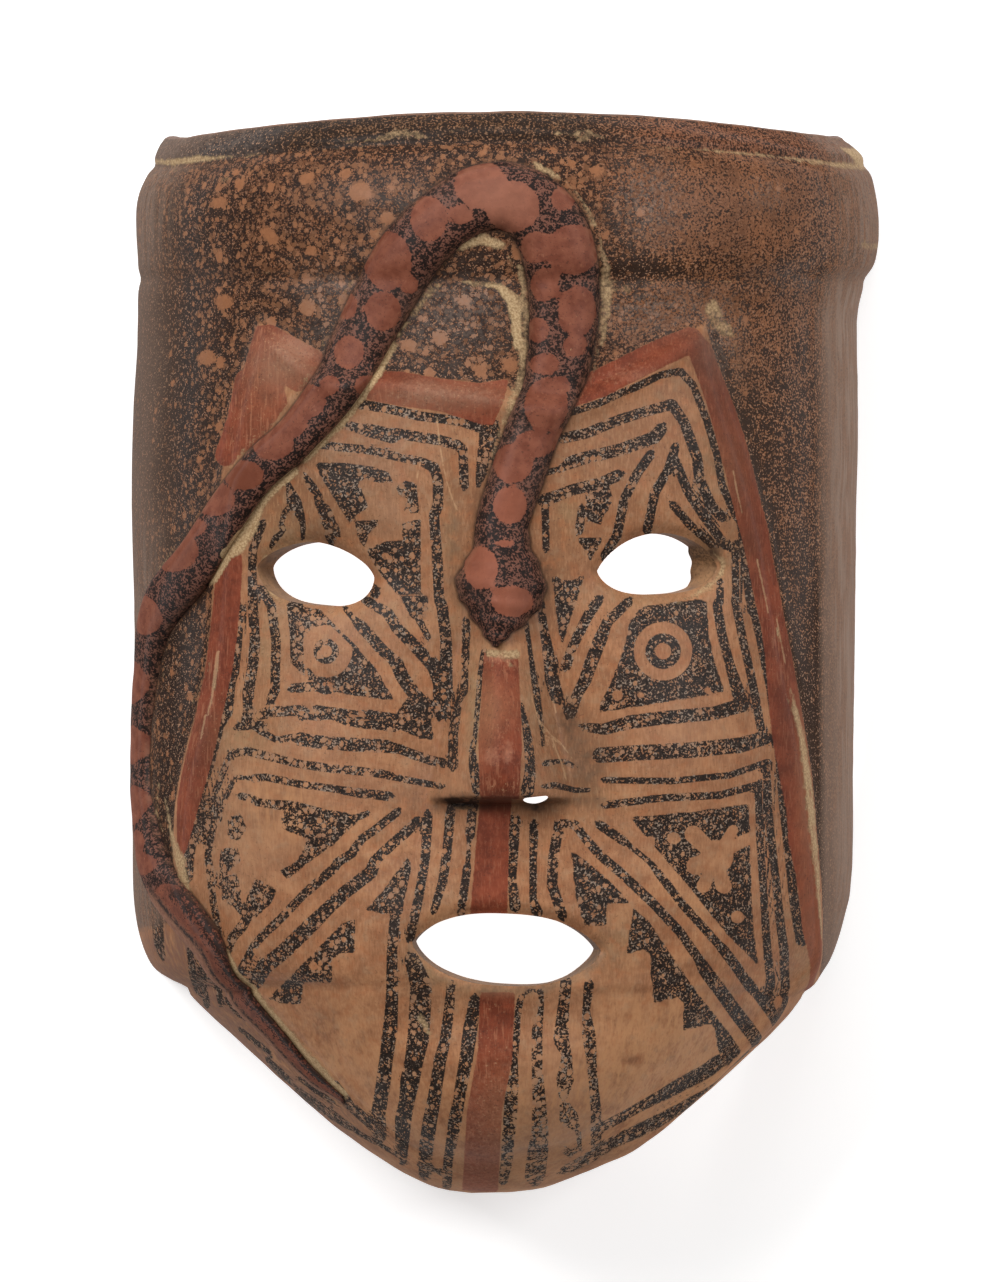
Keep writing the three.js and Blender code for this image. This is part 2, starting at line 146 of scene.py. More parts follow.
def section(y):
    key = round(float(y) * 1e4)
    if key not in sections:
        xl, xr = float(curve(LEFT_X, over_chin(y))), float(curve(RIGHT_X, over_chin(y)))
        w, front, rim = (xr - xl) / 2, float(front_of(y)), float(rim_of(y))
        shoulder = mix(rim, front, SHOULDER)
        px = np.concatenate([w * SIN_Q, np.full(12, w)])
        pz = np.concatenate([shoulder + (front - shoulder) * COS_Q, shoulder + (rim - shoulder) * DOWN])
        run = np.concatenate([[0], np.cumsum(np.hypot(np.diff(px), np.diff(pz)))])
        sections[key] = (w, (xl + xr) / 2, px, pz, run)
    return sections[key]


def by_height(y, take):
    """runs take(section, indices) for the points of each height"""
    ys, inverse = np.unique(np.round(y, 4), return_inverse=True)
    order = np.argsort(inverse, kind="stable")
    ends = np.searchsorted(inverse[order], np.arange(len(ys) + 1))
    for k, yy in enumerate(ys):
        take(section(yy), order[ends[k]:ends[k + 1]])


def on_section(a, y):
    a, y = [v.ravel() for v in np.broadcast_arrays(np.asarray(a, float), np.asarray(y, float))]
    x, z, side, centre, length = (np.empty(len(a)) for _ in range(5))

    def take(s, idx):
        w, c, px, pz, run = s
        want = np.abs(a[idx]) * run[-1]
        xx = np.interp(want, run, px)
        x[idx] = c + np.sign(a[idx]) * xx
        z[idx] = np.interp(want, run, pz)
        side[idx], centre[idx], length[idx] = xx / w, c, run[-1]
    by_height(y, take)
    return x, z, side, centre, length


def across(x, y):
    """arc fraction of the section whose x is given"""
    x, y = [v.ravel() for v in np.broadcast_arrays(np.asarray(x, float), np.asarray(y, float))]
    a = np.empty(len(x))

    def take(s, idx):
        w, c, px, pz, run = s
        want = np.minimum(np.abs(x[idx] - c), w)
        a[idx] = np.sign(x[idx] - c) * np.interp(want, px[:97], run[:97]) / run[-1]
    by_height(y, take)
    return a


def length_at(y):
    out = np.empty(len(y))

    def take(s, idx):
        out[idx] = s[4][-1]
    by_height(y, take)
    return out


def dip(x, y):
    return -24 * UNIT * ((x - 0.3) / 76) ** 2 * smooth(84, 125, y)


def bare(a, y):
    x, z, _, _, _ = on_section(a, y)
    yy = y + dip(np.clip(x, -80, 80), y)
    f = (EYE_DISTANCE - z) / (EYE_DISTANCE - EYE_PLANE)
    return np.stack([x * f, yy * f, z], -1)


def unit(v):
    return v / np.maximum(1e-12, np.linalg.norm(v, axis=-1, keepdims=True))


def normal_at(a, y):
    e, d = 0.004, 0.25
    lo, hi = np.maximum(y - d, -124.7), np.minimum(y + d, 124.9)
    du = bare(np.clip(a + e, -1, 1), y) - bare(np.clip(a - e, -1, 1), y)
    dv = bare(a, hi) - bare(a, lo)
    return unit(np.cross(du, dv))


# ------------------------------------------------------------------ openings

RIGHT_EYE = dict(x=659, y=569, half=61, up=36, down=25, pu=2.1, qu=0.8, pd=3, qd=0.7, tilt=-2)
LEFT_EYE = dict(x=315, y=573, half=58, up=31, down=32, pu=1.7, qu=0.65, pd=3, qd=0.55, tilt=5)
MOUTH = dict(x=506, y=946, half=92.5, up=33, down=39, pu=2.6, qu=0.8, pd=2.5, qd=0.7, tilt=4)
RIGHT_NOSTRIL = dict(x=535.5, y=798.5, half=12.5, up=2.6, down=5, pu=8, qu=0.4, pd=1.7, qd=0.6, tilt=-1.2, steps=28, slope=0)
LEFT_NOSTRIL = dict(x=463, y=799, half=11, up=4, down=4, pu=2, qu=0.5, pd=2, qd=0.5, steps=20, slope=0.5)
HOLES = [RIGHT_EYE, LEFT_EYE, MOUTH, RIGHT_NOSTRIL, LEFT_NOSTRIL]


def edge_uv(x, y, half, up, down, pu, qu, pd, qd, tilt=0, steps=88, slope=None):
    """unequal arcs over and under the opening's middle line, in elevation steps"""
    q = 2 * np.pi * np.arange(steps) / steps
    u = np.cos(q)
    high = np.where(np.sin(q) >= 0, up * (1 - np.abs(u) ** pu) ** qu, -down * (1 - np.abs(u) ** pd) ** qd)
    return np.stack([x + half * u, y - high + tilt * u], -1)


# ------------------------------------------------------------------ distances

def segment_distance(px, py, ax, ay, bx, by):
    dx, dy = bx - ax, by - ay
    l2 = dx * dx + dy * dy + 1e-12
    h = np.clip(((px - ax) * dx + (py - ay) * dy) / l2, 0, 1)
    ex, ey = px - ax - h * dx, py - ay - h * dy
    return np.hypot(ex, ey), h, np.sign(dx * (py - ay) - dy * (px - ax))


def polygon_field(px, py, poly, reach=14.0):
    """signed distance to a polygon, positive inside, down to -reach"""
    poly = np.asarray(poly, float)
    out = np.full(len(px), -reach)
    lo, hi = poly.min(0) - reach, poly.max(0) + reach
    idx = np.flatnonzero((px > lo[0]) & (px < hi[0]) & (py > lo[1]) & (py < hi[1]))
    if not len(idx):
        return out
    x, y = px[idx], py[idx]
    best, inside = np.full(len(idx), 1e9), np.zeros(len(idx), bool)
    for (ax, ay), (bx, by) in zip(poly, np.roll(poly, -1, 0)):
        best = np.minimum(best, segment_distance(x, y, ax, ay, bx, by)[0])
        if ay != by:
            inside ^= ((ay > y) != (by > y)) & (x < (bx - ax) * (y - ay) / (by - ay) + ax)
    out[idx] = np.maximum(-reach, np.where(inside, best, -best))
    return out


class Strokes:
    """union of brush strokes: the margin to the nearest one, and the signed
    offset from its middle line with its half width"""

    def __init__(self, px, py, reach=16.0):
        self.px, self.py, self.reach = px, py, reach
        self.margin = np.full(len(px), -reach)
        self.offset = np.full(len(px), reach)
        self.half = np.full(len(px), 1.0)

    def add(self, points):
        w = 6.0
        rows = []
        for p in points:
            if len(p) > 2:
                w = p[2]
            rows.append((p[0], p[1], w / 2))
        for (ax, ay, ra), (bx, by, rb) in zip(rows, rows[1:]):
            m = self.reach + max(ra, rb)
            idx = np.flatnonzero((self.px > min(ax, bx) - m) & (self.px < max(ax, bx) + m)
                                 & (self.py > min(ay, by) - m) & (self.py < max(ay, by) + m))
            if not len(idx):
                continue
            d, h, sign = segment_distance(self.px[idx], self.py[idx], ax, ay, bx, by)
            r = mix(ra, rb, h)
            win = r - d > self.margin[idx]
            k = idx[win]
            self.margin[k] = (r - d)[win]
            self.offset[k] = (np.where(sign == 0, 1, sign) * d)[win]
            self.half[k] = r[win]


# ------------------------------------------------------------------ relief

def rows_yx(*vu, first=None, last=None):
    rows = [[float(Y(v)), float(X(u))] for v, u in vu]
    return ([first] if first else []) + rows + ([last] if last else [])


PANEL_LEFT = rows_yx((1150, 400), (1100, 346), (1038, 290), (990, 247), (950, 210), (920, 192), (880, 182),
                     (820, 182), (780, 187), (740, 195), (700, 204), (650, 212), (600, 216), (560, 220), (470, 226),
                     (400, 240), (327, 262),
                     first=[-125.0, float(X(440))])
PANEL_RIGHT = rows_yx((920, 815), (860, 812), (800, 806), (740, 799), (680, 789), (600, 775), (540, 765),
                      (470, 745), (400, 722), (327, 703), first=[-125.0, float(X(815))])
PANEL_TOP = [[float(X(u)), float(Y(v))] for u, v in ((250, 318), (262, 327), (320, 370), (385, 375), (440, 383),
             (500, 392), (560, 400), (600, 386), (650, 358), (703, 327), (715, 318))]


def panel_inside(x, y):
    return np.minimum(np.minimum(x - curve(PANEL_LEFT, y), curve(PANEL_RIGHT, y) - x), curve(PANEL_TOP, x) - y)


HOLE_UV = [edge_uv(**h) for h in HOLES]
HOLE_ROUND = [2.6, 2.6, 3.2, 0.8, 0.8]


def relief(x, y):
    inside = panel_inside(x, y)
    xl, xr = curve(LEFT_X, over_chin(y)), curve(RIGHT_X, over_chin(y))
    c, w = (xl + xr) / 2, (xr - xl) / 2
    low = smooth(-62, -80, y)
    chin = mix(1, smooth(0, 0.1, 1 - np.abs(x - c) / w) * smooth(-124, -112, y), low)
    h = PANEL_STEP * smooth(-2.5, 2.5, inside) * chin
    h += 1.1 * np.exp(-((inside - 2.5) / 3.2) ** 2) * chin
    nx, top, foot = x - X(501), Y(520), Y(798)
    t = np.clip((top - y) / (top - foot), 0, 1)
    half, high = mix(5.5, 17, t ** 1.25), NOSE_HEIGHT * t ** 1.15
    u = np.clip(np.abs(nx) / half, 0, 1)
    cut = np.where(y < foot + 0.4, smooth(foot - 1.6, foot + 0.4, y), 1)
    # the bulb of the tip rounds off towards the foot
    below = np.clip((Y(758) - y) / (Y(758) - foot), 0, 1)
    h += high * (1 - u ** 1.7) ** 1.35 * cut * (1 - 0.22 * below ** 2.2)
    h += 1.2 * bell(x - X(500), y - Y(755), 6.5, 5.5)
    h -= 0.5 * bell(x - X(592), y - Y(750), 7, 12) + 0.9 * bell(x - X(412), y - Y(765), 5, 9)
    h += 0.8 * bell(x - X(566), y - Y(775), 6, 7)
    h -= 3.2 * (bell(x - X(650), y - Y(572), 19, 12) + bell(x - X(330), y - Y(576), 19, 12))
    h += 3 * (bell(x - X(268), y - Y(775), 19, 22) + bell(x - X(690), y - Y(755), 19, 24))
    h += 3.4 * bell(x - X(502), y - Y(935), 30, 21)
    h -= 1.8 * bell(x - X(500), y - Y(1018), 30, 7)
    h += 2.4 * bell(x - X(497), y - Y(1085), 20, 14)
    # worn, rounded edges of the openings
    for uv, r in zip(HOLE_UV, HOLE_ROUND):
        d = -polygon_field(x / UNIT + 504, 651.5 - y / UNIT, uv, reach=16) * UNIT
        h -= 0.55 * r * np.clip(1 - d / r, 0, 1) ** 2
    # unevenness of hand building
    h += 0.16 * np.sin(x * 0.21 + 1.3 * np.sin(y * 0.09)) * np.sin(y * 0.17 + 1.1 * np.sin(x * 0.07 + 2))
    h += 0.07 * np.sin(x * 0.55 + y * 0.31) * np.sin(y * 0.47 - x * 0.2 + 1)
    return h


def nose_hollow(x, y):
    return 0.42 * NOSE_HEIGHT * bell(x - X(501), y - Y(755), 11, 16)


def band_out(a, y):
    return (mix(curve(BAND_LEFT, y), curve(BAND_RIGHT, y), smooth(-1, 1, a))
            - 0.9 * np.exp(-((y - 117.7) / 1.5) ** 2) - 0.6 * np.exp(-((y - 86) / 1.8) ** 2))


def outer(a, y, lift=0.0):
    a, y = [v.ravel() for v in np.broadcast_arrays(np.asarray(a, float), np.asarray(y, float))]
    x, z, side, _, _ = on_section(a, y)
    n = normal_at(a, y)
    base = bare(a, y) + n * band_out(a, y)[:, None]
    sight = unit(np.stack([-base[:, 0], -base[:, 1], EYE_DISTANCE - base[:, 2]], -1))
    turn = smooth(0.75, 0.97, side)[:, None]
    direction = unit(sight * (1 - turn) + n * turn)
    fade = 1 - smooth(0.985, 1, side) * smooth(30, 22, z)
    out = base + direction * (relief(x, y) * fade + lift)[:, None]
    rim = np.abs(a) == 1
    out[rim, 2] = rim_of(y[rim])
    return out


def inner(a, y):
    a, y = [v.ravel() for v in np.broadcast_arrays(np.asarray(a, float), np.asarray(y, float))]
    x, _, _, c, _ = on_section(a, y)
    base = bare(a, y) + normal_at(a, y) * (band_out(a, y) * 0.9)[:, None]
    rim = np.abs(a) == 1
    z = np.where(rim, rim_of(y), base[:, 2])
    return np.stack([c + (base[:, 0] - c) * (1 - WALL / HALF_WIDTH),
                     base[:, 1] + 0.75 * WALL * jaw(y) ** 1.3,
                     np.where(rim, z, z * (1 - WALL / FRONT) + nose_hollow(x, y))], -1)


# ------------------------------------------------------------------ meshes

OUTER, INNER, RIM, CUT, SNAKE = range(5)
slots = [bpy.data.materials.new(n) for n in ("face_slip", "inner_clay", "rim_clay", "opening_clay", "snake_slip")]


def mesh_of(name, verts, faces, kinds, bake, param, strap):
    """faces of three or four corners; bake, param and strap hold two numbers a corner"""
    me = bpy.data.meshes.new(name)
    me.vertices.add(len(verts))
    me.vertices.foreach_set("co", (np.asarray(verts) * 0.001).astype(np.float32).ravel())
    sizes = np.array([len(f) for f in faces], np.int32)
    me.loops.add(int(sizes.sum()))
    me.loops.foreach_set("vertex_index", np.concatenate([np.asarray(f, np.int32) for f in faces]))
    me.polygons.add(len(faces))
    me.polygons.foreach_set("loop_start", np.concatenate([[0], np.cumsum(sizes)[:-1]]).astype(np.int32))
    me.polygons.foreach_set("material_index", np.asarray(kinds, np.int32))
    for label, rows in (("OFBake", bake), ("param", param), ("strap", strap)):
        layer = me.uv_layers.new(name=label)
        layer.data.foreach_set("uv", np.asarray(rows, np.float32).ravel())
    for m in slots:
        me.materials.append(m)
    me.update(calc_edges=True)
    me.validate()
    return me


def place(box, s, t):
    """point of a rectangle (u0, v0, u1, v1) of the unrolled picture"""
    return (box[0] + (box[2] - box[0]) * s, box[1] + (box[3] - box[1]) * t)


BAKE_OUTER, BAKE_SNAKE = (0.01, 0.21, 0.99, 0.99), (0.01, 0.15, 0.97, 0.195)
BAKE_INNER, BAKE_LIP = (0.01, 0.01, 0.25, 0.135), (0.27, 0.118, 0.97, 0.136)
BAKE_LEFT, BAKE_RIGHT, BAKE_TIP = (0.27, 0.098, 0.97, 0.110), (0.27, 0.078, 0.97, 0.090), (0.975, 0.078, 0.99, 0.136)
BAKE_HOLES = [(0.27, 0.010, 0.42, 0.066), (0.43, 0.010, 0.58, 0.066), (0.59, 0.010, 0.80, 0.066),
              (0.81, 0.010, 0.88, 0.066), (0.89, 0.010, 0.96, 0.066)]


def lattice_columns():
    i = np.arange(HALF_COLS + 1)
    half = np.interp(i, [0, 118, 128, HALF_COLS], [0, 0.64, 0.72, 1.0])
    return np.concatenate([-half[:0:-1], half])


def lattice_rows():
    knots = [[0, 123.8], [5, 120.5], [16, 112.5], [30, 95], [44, 80], [56, 64], [173, float(Y(791))],
             [181, float(Y(806))], [269, -108], [279, -117], [284, -122.4], [288, -124.85]]
    k = np.array(knots)
    return np.interp(np.arange(ROWS + 1), k[:, 0], k[:, 1])


class Build:
    def __init__(self):
        self.verts, self.faces, self.kinds, self.bake, self.param, self.strap = [], [], [], [], [], []
        self.count = 0

    def points(self, p):
        first = self.count
        self.verts.append(np.asarray(p, float).reshape(-1, 3))
        self.count += len(self.verts[-1])
        return np.arange(first, self.count)

    def face(self, ids, kind, bake, param, strap=None):
        self.faces.append(ids)
        self.kinds.append(kind)
        self.bake.extend(bake)
        self.param.extend(param)
        self.strap.extend(strap if strap is not None else [(0, 0)] * len(ids))

    def mesh(self, name):
        return mesh_of(name, np.concatenate(self.verts), self.faces, self.kinds, self.bake, self.param, self.strap)


def shell_mesh():
    b = Build()
    cols, rows = lattice_columns(), lattice_rows()
    A, H = np.meshgrid(cols, rows)
    out = b.points(outer(A, H)).reshape(ROWS + 1, COLS + 1)
    ica, ira = np.arange(0, COLS + 1, STEP), np.arange(0, ROWS + 1, STEP)
    IA, IH = np.meshgrid(cols[ica], rows[ira])
    into = b.points(inner(IA, IH)).reshape(len(ira), len(ica))

    def spot(box, a, y):
        return place(box, (a + 1) / 2, (y + 125.5) / 251)

    for j in range(ROWS):
        for i in range(COLS):
            q = [(i, j), (i, j + 1), (i + 1, j + 1), (i + 1, j)]
            b.face([out[jj, ii] for ii, jj in q], OUTER,
                   [spot(BAKE_OUTER, cols[ii], rows[jj]) for ii, jj in q],
                   [(cols[ii], rows[jj] / 100) for ii, jj in q])
    R, C = len(ira) - 1, len(ica) - 1
    for j in range(R):
        for i in range(C):
            q = [(i, j), (i + 1, j), (i + 1, j + 1), (i, j + 1)]
            b.face([into[jj, ii] for ii, jj in q], INNER,
                   [spot(BAKE_INNER, -cols[ica[ii]], rows[ira[jj]]) for ii, jj in q],
                   [(cols[ica[ii]], rows[ira[jj]] / 100) for ii, jj in q])

    # both faces close under the tip of the chin
    def zipper(row, acol, y, flip, kind, box):
        n = len(row) - 1
        for i in range(n // 2):
            ids = [row[i], row[i + 1], row[n - i - 1], row[n - i]]
            uv = [(i / n, 0), ((i + 1) / n, 0), ((i + 1) / n, 1), (i / n, 1)]
            pr = [(acol[i], y / 100), (acol[i + 1], y / 100), (acol[n - i - 1], y / 100), (acol[n - i], y / 100)]
            if ids[1] == ids[2]:
                ids, uv, pr = [ids[0], ids[1], ids[3]], [uv[0], uv[1], uv[3]], [pr[0], pr[1], pr[3]]
            if not flip:
                ids, uv, pr = ids[::-1], uv[::-1], pr[::-1]
            b.face(ids, kind, [place(box, *p) for p in uv], pr)

    zipper(out[ROWS], cols, rows[-1], False, OUTER, (0.975, 0.078, 0.982, 0.136))
    zipper(into[R], cols[ica], rows[-1], True, INNER, (0.984, 0.078, 0.990, 0.136))

    # strips between the faces: STEP outer facets to one inner facet
    def stitch(o, n, flip, box, ao, an, yo, yn, lo=0.0, hi=1.0):
        m, total = STEP // 2, len(o) - 1
        for i in range(len(n) - 1):
            p, q = n[i], n[i + 1]
            tris = []
            for k in range(STEP):
                tris.append(((i * STEP + k, 0), (i * STEP + k + 1, 0), (i if k < m else i + 1, 1)))
                if k == m - 1:
                    tris.append(((i * STEP + m, 0), (i + 1, 1), (i, 1)))
            for t in tris:
                ids = [o[k] if w == 0 else n[k] for k, w in t]
                uv = [place(box, k / total if w == 0 else k * STEP / total, lo if w == 0 else hi) for k, w in t]
                pr = [(ao[k], yo[k] / 100) if w == 0 else (an[k], yn[k] / 100) for k, w in t]
                if flip:
                    ids, uv, pr = ids[::-1], uv[::-1], pr[::-1]
                b.face(ids, RIM, uv, pr)

    stitch(out[:, 0], into[:, 0], True, BAKE_LEFT, np.full(ROWS + 1, -1.0), np.full(R + 1, -1.0), rows, rows[ira])
    stitch(out[:, COLS], into[:, C], False, BAKE_RIGHT, np.full(ROWS + 1, 1.0), np.full(R + 1, 1.0), rows, rows[ira])
    tip = [out[ROWS, 0], into[R, 0], into[R, C], out[ROWS, COLS]]
    b.face(tip, RIM, [place((0.975, 0.010, 0.99, 0.066), *p) for p in ((0, 0), (0, 1), (1, 1), (1, 0))],
           [(-1, -1.25), (-1, -1.25), (1, -1.25), (1, -1.25)])

    # rounded lip
    o, n = outer(cols, np.full(COLS + 1, rows[0])), inner(cols, np.full(COLS + 1, rows[0]))
    worn = 0.07 * np.sin(cols * 23 + 2 * np.sin(cols * 7)) + 0.03 * np.sin(cols * 61)
    steps = [(0.10, 0.75), (0.26, 1.2), (0.45, 1.3), (0.66, 1.15), (0.86, 0.6)]
    ring = [out[0]]
    for t, up in steps:
        p = mix(o, n, t)
        p[:, 1] += up * (1 + worn)
        ring.append(b.points(p))
    full = np.full(COLS + 1, rows[0])
    for k in range(len(ring) - 1):
        v0, v1 = k / len(ring), (k + 1) / len(ring)
        for i in range(COLS):
            ids = [ring[k + 1][i], ring[k][i], ring[k][i + 1], ring[k + 1][i + 1]]
            uv = [(i / COLS, v1), (i / COLS, v0), ((i + 1) / COLS, v0), ((i + 1) / COLS, v1)]
            b.face(ids, OUTER if k < 1 else RIM, [place(BAKE_LIP, *p) for p in uv],
                   [(cols[i], 1.26), (cols[i], 1.25), (cols[i + 1], 1.25), (cols[i + 1], 1.26)])
    stitch(ring[-1], into[0], False, BAKE_LIP, cols, cols[ica], full, full[ica], (len(ring) - 1) / len(ring), 1.0)
    # ends of the lip at the two side rims
    for i, i2, box, flip in ((0, 0, (0.972, 0.14, 0.98, 0.17), False), (COLS, C, (0.982, 0.14, 0.99, 0.17), True)):
        loop = [r[i] for r in ring] + [into[0, i2]]
        for k in range(1, len(loop) - 1):
            ids = [loop[0], loop[k], loop[k + 1]]
            uv = [(0, 0), (k / 7, 1 - k / 14), ((k + 1) / 7, 1 - (k + 1) / 14)]
            if flip:
                ids, uv = ids[::-1], uv[::-1]
            b.face(ids, RIM, [place(box, *p) for p in uv], [(cols[i], 1.25)] * 3)
    return b.mesh("shell")


SNAKE_ROWS = [[495, 646, 3, 0.5], [496, 634, 14, 0.8], [498, 618, 30, 1.1], [500, 600, 43, 1.4], [501, 583, 47, 1.6],
              [502, 565, 39, 1.5], [502, 545, 29, 1.25], [503, 520, 27, 1],
              [519, 470, 28, 1], [533, 430, 28, 1], [548, 397, 29, 1], [559, 360, 33, 1], [564, 310, 36, 1],
              [561, 270, 37, 1], [548, 228, 37, 1], [520, 201, 36, 1], [485, 198, 35, 1], [450, 215, 33, 1],
              [412, 252, 33, 1], [382, 300, 32, 1], [358, 345, 31, 1], [335, 388, 27, 1], [295, 437, 24, 1],
              [255, 474, 24, 1], [220, 522, 27, 1], [192, 568, 30, 1], [160, 615, 31, 0.85], [148, 680, 29, 0.62],
              [144, 745, 28, 0.55], [146, 807, 28, 0.55], [157, 862, 29, 0.8], [181, 905, 27, 0.9],
              [208, 945, 24, 0.9], [240, 992, 20, 0.8], [277, 1035, 16, 0.7], [312, 1073, 11, 0.6],
              [344, 1100, 5, 0.4]]


def snake_line(t):
    """unrolled middle line, half width and height factor at 0..1 along the body"""
    r = np.array(SNAKE_ROWS, float)
    x, y = X(r[:, 0]), Y(r[:, 1])
    P = np.stack([across(x, y) * length_at(y), y], -1)
    n = len(P) - 1
    f = np.clip(np.asarray(t, float), 0, 1) * n
    i = np.minimum(f.astype(int), n - 1)
    s = (f - i)[:, None]
    before = np.where((i > 0)[:, None], P[np.maximum(i - 1, 0)], 2 * P[0] - P[1])
    after = np.where((i + 2 <= n)[:, None], P[np.minimum(i + 2, n)], 2 * P[n] - P[n - 1])
    p1, p2 = P[i], P[i + 1]
    m1, m2 = 0.5 * (p2 - before), 0.5 * (after - p1)
    c2, c3 = -3 * p1 + 3 * p2 - 2 * m1 - m2, 2 * p1 - 2 * p2 + m1 + m2
    point = p1 + m1 * s + c2 * s * s + c3 * s * s * s
    e = (s * s * (3 - 2 * s))[:, 0]
    return point, mix(r[i, 2], r[i + 1, 2], e) * UNIT, mix(r[i, 3], r[i + 1, 3], e)


def snake_mesh():
    b = Build()
    t = np.arange(SNAKE_STEPS + 1) / SNAKE_STEPS
    p, w, h = snake_line(t)
    d = snake_line(t + 0.003)[0] - snake_line(t - 0.003)[0]
    d = unit(d)
    v = np.array([-1, -0.97, -0.88, -0.74, -0.55, -0.3, 0, 0.3, 0.55, 0.74, 0.88, 0.97, 1])
    e = -0.25 + 1.30 * (1 - np.abs(v) ** 3.6) ** 0.62
    v, e = np.append(v, [0.8, -0.8]), np.append(e, [0, 0])
    m = len(v)
    S = p[:, :1] + v[None] * (w * d[:, 1])[:, None]
    Yp = p[:, 1:] - v[None] * (w * d[:, 0])[:, None]
    lift = e[None] * SNAKE_HEIGHT * h[:, None]
    # the head is a low four-sided pyramid with a crest down its middle
    head = smooth(0.165, 0.10, t)[:, None]
    lift = lift + head * 1.1 * (1 - np.abs(v[None])) ** 1.0 * (np.arange(m) < m - 2)
    lift[:, m - 2:] = -SNAKE_SINK
    a = np.clip(S / length_at(Yp.ravel()).reshape(Yp.shape), -0.999, 0.999)
    ids = b.points(outer(a, Yp, lift.ravel())).reshape(SNAKE_STEPS + 1, m)
    run = np.concatenate([[0], np.cumsum(np.hypot(*np.diff(p, axis=0).T))])
    total = run[-1]
    for k in range(SNAKE_STEPS):
        for i in range(m):
            j = (i + 1) % m
            q = [(k, i), (k, j), (k + 1, j), (k + 1, i)]
            order = [(kk, i if ii == i else (i + 1)) for kk, ii in q]
            bake = [place(BAKE_SNAKE, run[kk] / total, ii / m) for kk, ii in order]
            b.face([ids[kk, ii] for kk, ii in q], SNAKE, bake,
                   [(a[kk, ii], Yp[kk, ii] / 100) for kk, ii in q],
                   [(run[kk] / 100, v[ii]) for kk, ii in q])
    for k, flip, box in ((0, True, (0.972, 0.175, 0.98, 0.195)), (SNAKE_STEPS, False, (0.982, 0.175, 0.99, 0.195))):
        for i in range(1, m - 1):
            f = [0, i, i + 1]
            if flip:
                f = f[::-1]
            b.face([ids[k, j] for j in f], SNAKE, [place(box, j / m, (j * (m - j)) / (m * m / 4) ) for j in f],
                   [(a[k, j], Yp[k, j] / 100) for j in f], [(run[k] / 100, v[j]) for j in f])
    return b.mesh("snake"), total


def cutter_mesh(k):
    hole = HOLES[k]
    pts = HOLE_UV[k]
    x, y = X(pts[:, 0]), Y(pts[:, 1])
    n = len(pts)
    a = across(x, y)
    p = bare(a, y)
    if "slope" in hole:
        way = np.tile(unit(np.array([0.0, -hole["slope"], 1.0])), (n, 1))
    else:
        mid = across(X(hole["x"]), Y(hole["y"]))
        middle = normal_at(mid, np.atleast_1d(Y(hole["y"])))
        way = unit(mix(normal_at(a, y), middle, 0.35))
    b = Build()
    levels = [26, 12, 4, -1, -4, -22]
    ring = []
    for l in levels:
        q = p + way * l
        if k == 0:
            u = pts[:, 0]
            wide = 6 * smooth(690, 720, u) * smooth(-1.5, 1, l)
            blunt = np.maximum(0, u - 702 - 1.2 * np.sin(pts[:, 1] * 0.35)) * smooth(0.5, -3.5, l)
            q[:, 0] += (wide - blunt) * UNIT
        ring.append(b.points(q))
    for r in range(len(levels) - 1):
        for i in range(n):
            j = (i + 1) % n
            ids = [ring[r][i], ring[r + 1][i], ring[r + 1][j], ring[r][j]]
            t0, t1 = np.clip((levels[r] + 16) / 32, 0, 1), np.clip((levels[r + 1] + 16) / 32, 0, 1)
            bake = [place(BAKE_HOLES[k], s, t) for s, t in ((i / n, t0), (i / n, t1), ((i + 1) / n, t1), ((i + 1) / n, t0))]
            b.face(ids, CUT, bake, [(a[c], y[c] / 100) for c in (i, i, j, j)],
                   [(k, levels[r]), (k, levels[r + 1]), (k, levels[r + 1]), (k, levels[r])])
    for r, flip in ((0, False), (len(levels) - 1, True)):
        c = b.points((p + way * levels[r]).mean(0))[0]
        for i in range(n):
            j = (i + 1) % n
            ids = [c, ring[r][i], ring[r][j]]
            b.face(ids[::-1] if flip else ids, CUT, [place(BAKE_HOLES[k], 0, 0)] * 3, [(0, 0)] * 3, [(k, 0)] * 3)
    return b.mesh("cutter_%d" % k)


def outward(me):
    """turns a closed mesh inside out if its volume is negative"""
    co = np.empty(len(me.vertices) * 3, np.float32)
    me.vertices.foreach_get("co", co)
    co = co.reshape(-1, 3).astype(float)
    me.calc_loop_triangles()
    tri = np.empty(len(me.loop_triangles) * 3, np.int32)
    me.loop_triangles.foreach_get("vertices", tri)
    p = co[tri.reshape(-1, 3)]
    if np.einsum("ij,ij->i", p[:, 0], np.cross(p[:, 1], p[:, 2])).sum() < 0:
        me.flip_normals()


def obj_of(me):
    outward(me)
    o = bpy.data.objects.new(me.name, me)
    bpy.context.scene.collection.objects.link(o)
    return o


def combine(o, other, operation):
    m = o.modifiers.new("b", "BOOLEAN")
    m.operation, m.object, m.solver, m.material_mode = operation, other, "MANIFOLD", "INDEX"
    dg = bpy.context.evaluated_depsgraph_get()
    me = bpy.data.meshes.new_from_object(o.evaluated_get(dg))
    o.modifiers.clear()
    print("combine", operation, other.name, len(me.polygons))
    o.data = me
    bpy.data.objects.remove(other)


mask = obj_of(shell_mesh())
snake_me, SNAKE_LENGTH = snake_mesh()
combine(mask, obj_of(snake_me), "UNION")
for k in range(len(HOLES)):
    combine(mask, obj_of(cutter_mesh(k)), "DIFFERENCE")
mask.name = "mask_body"
me = mask.data
me.name = "mask_body"

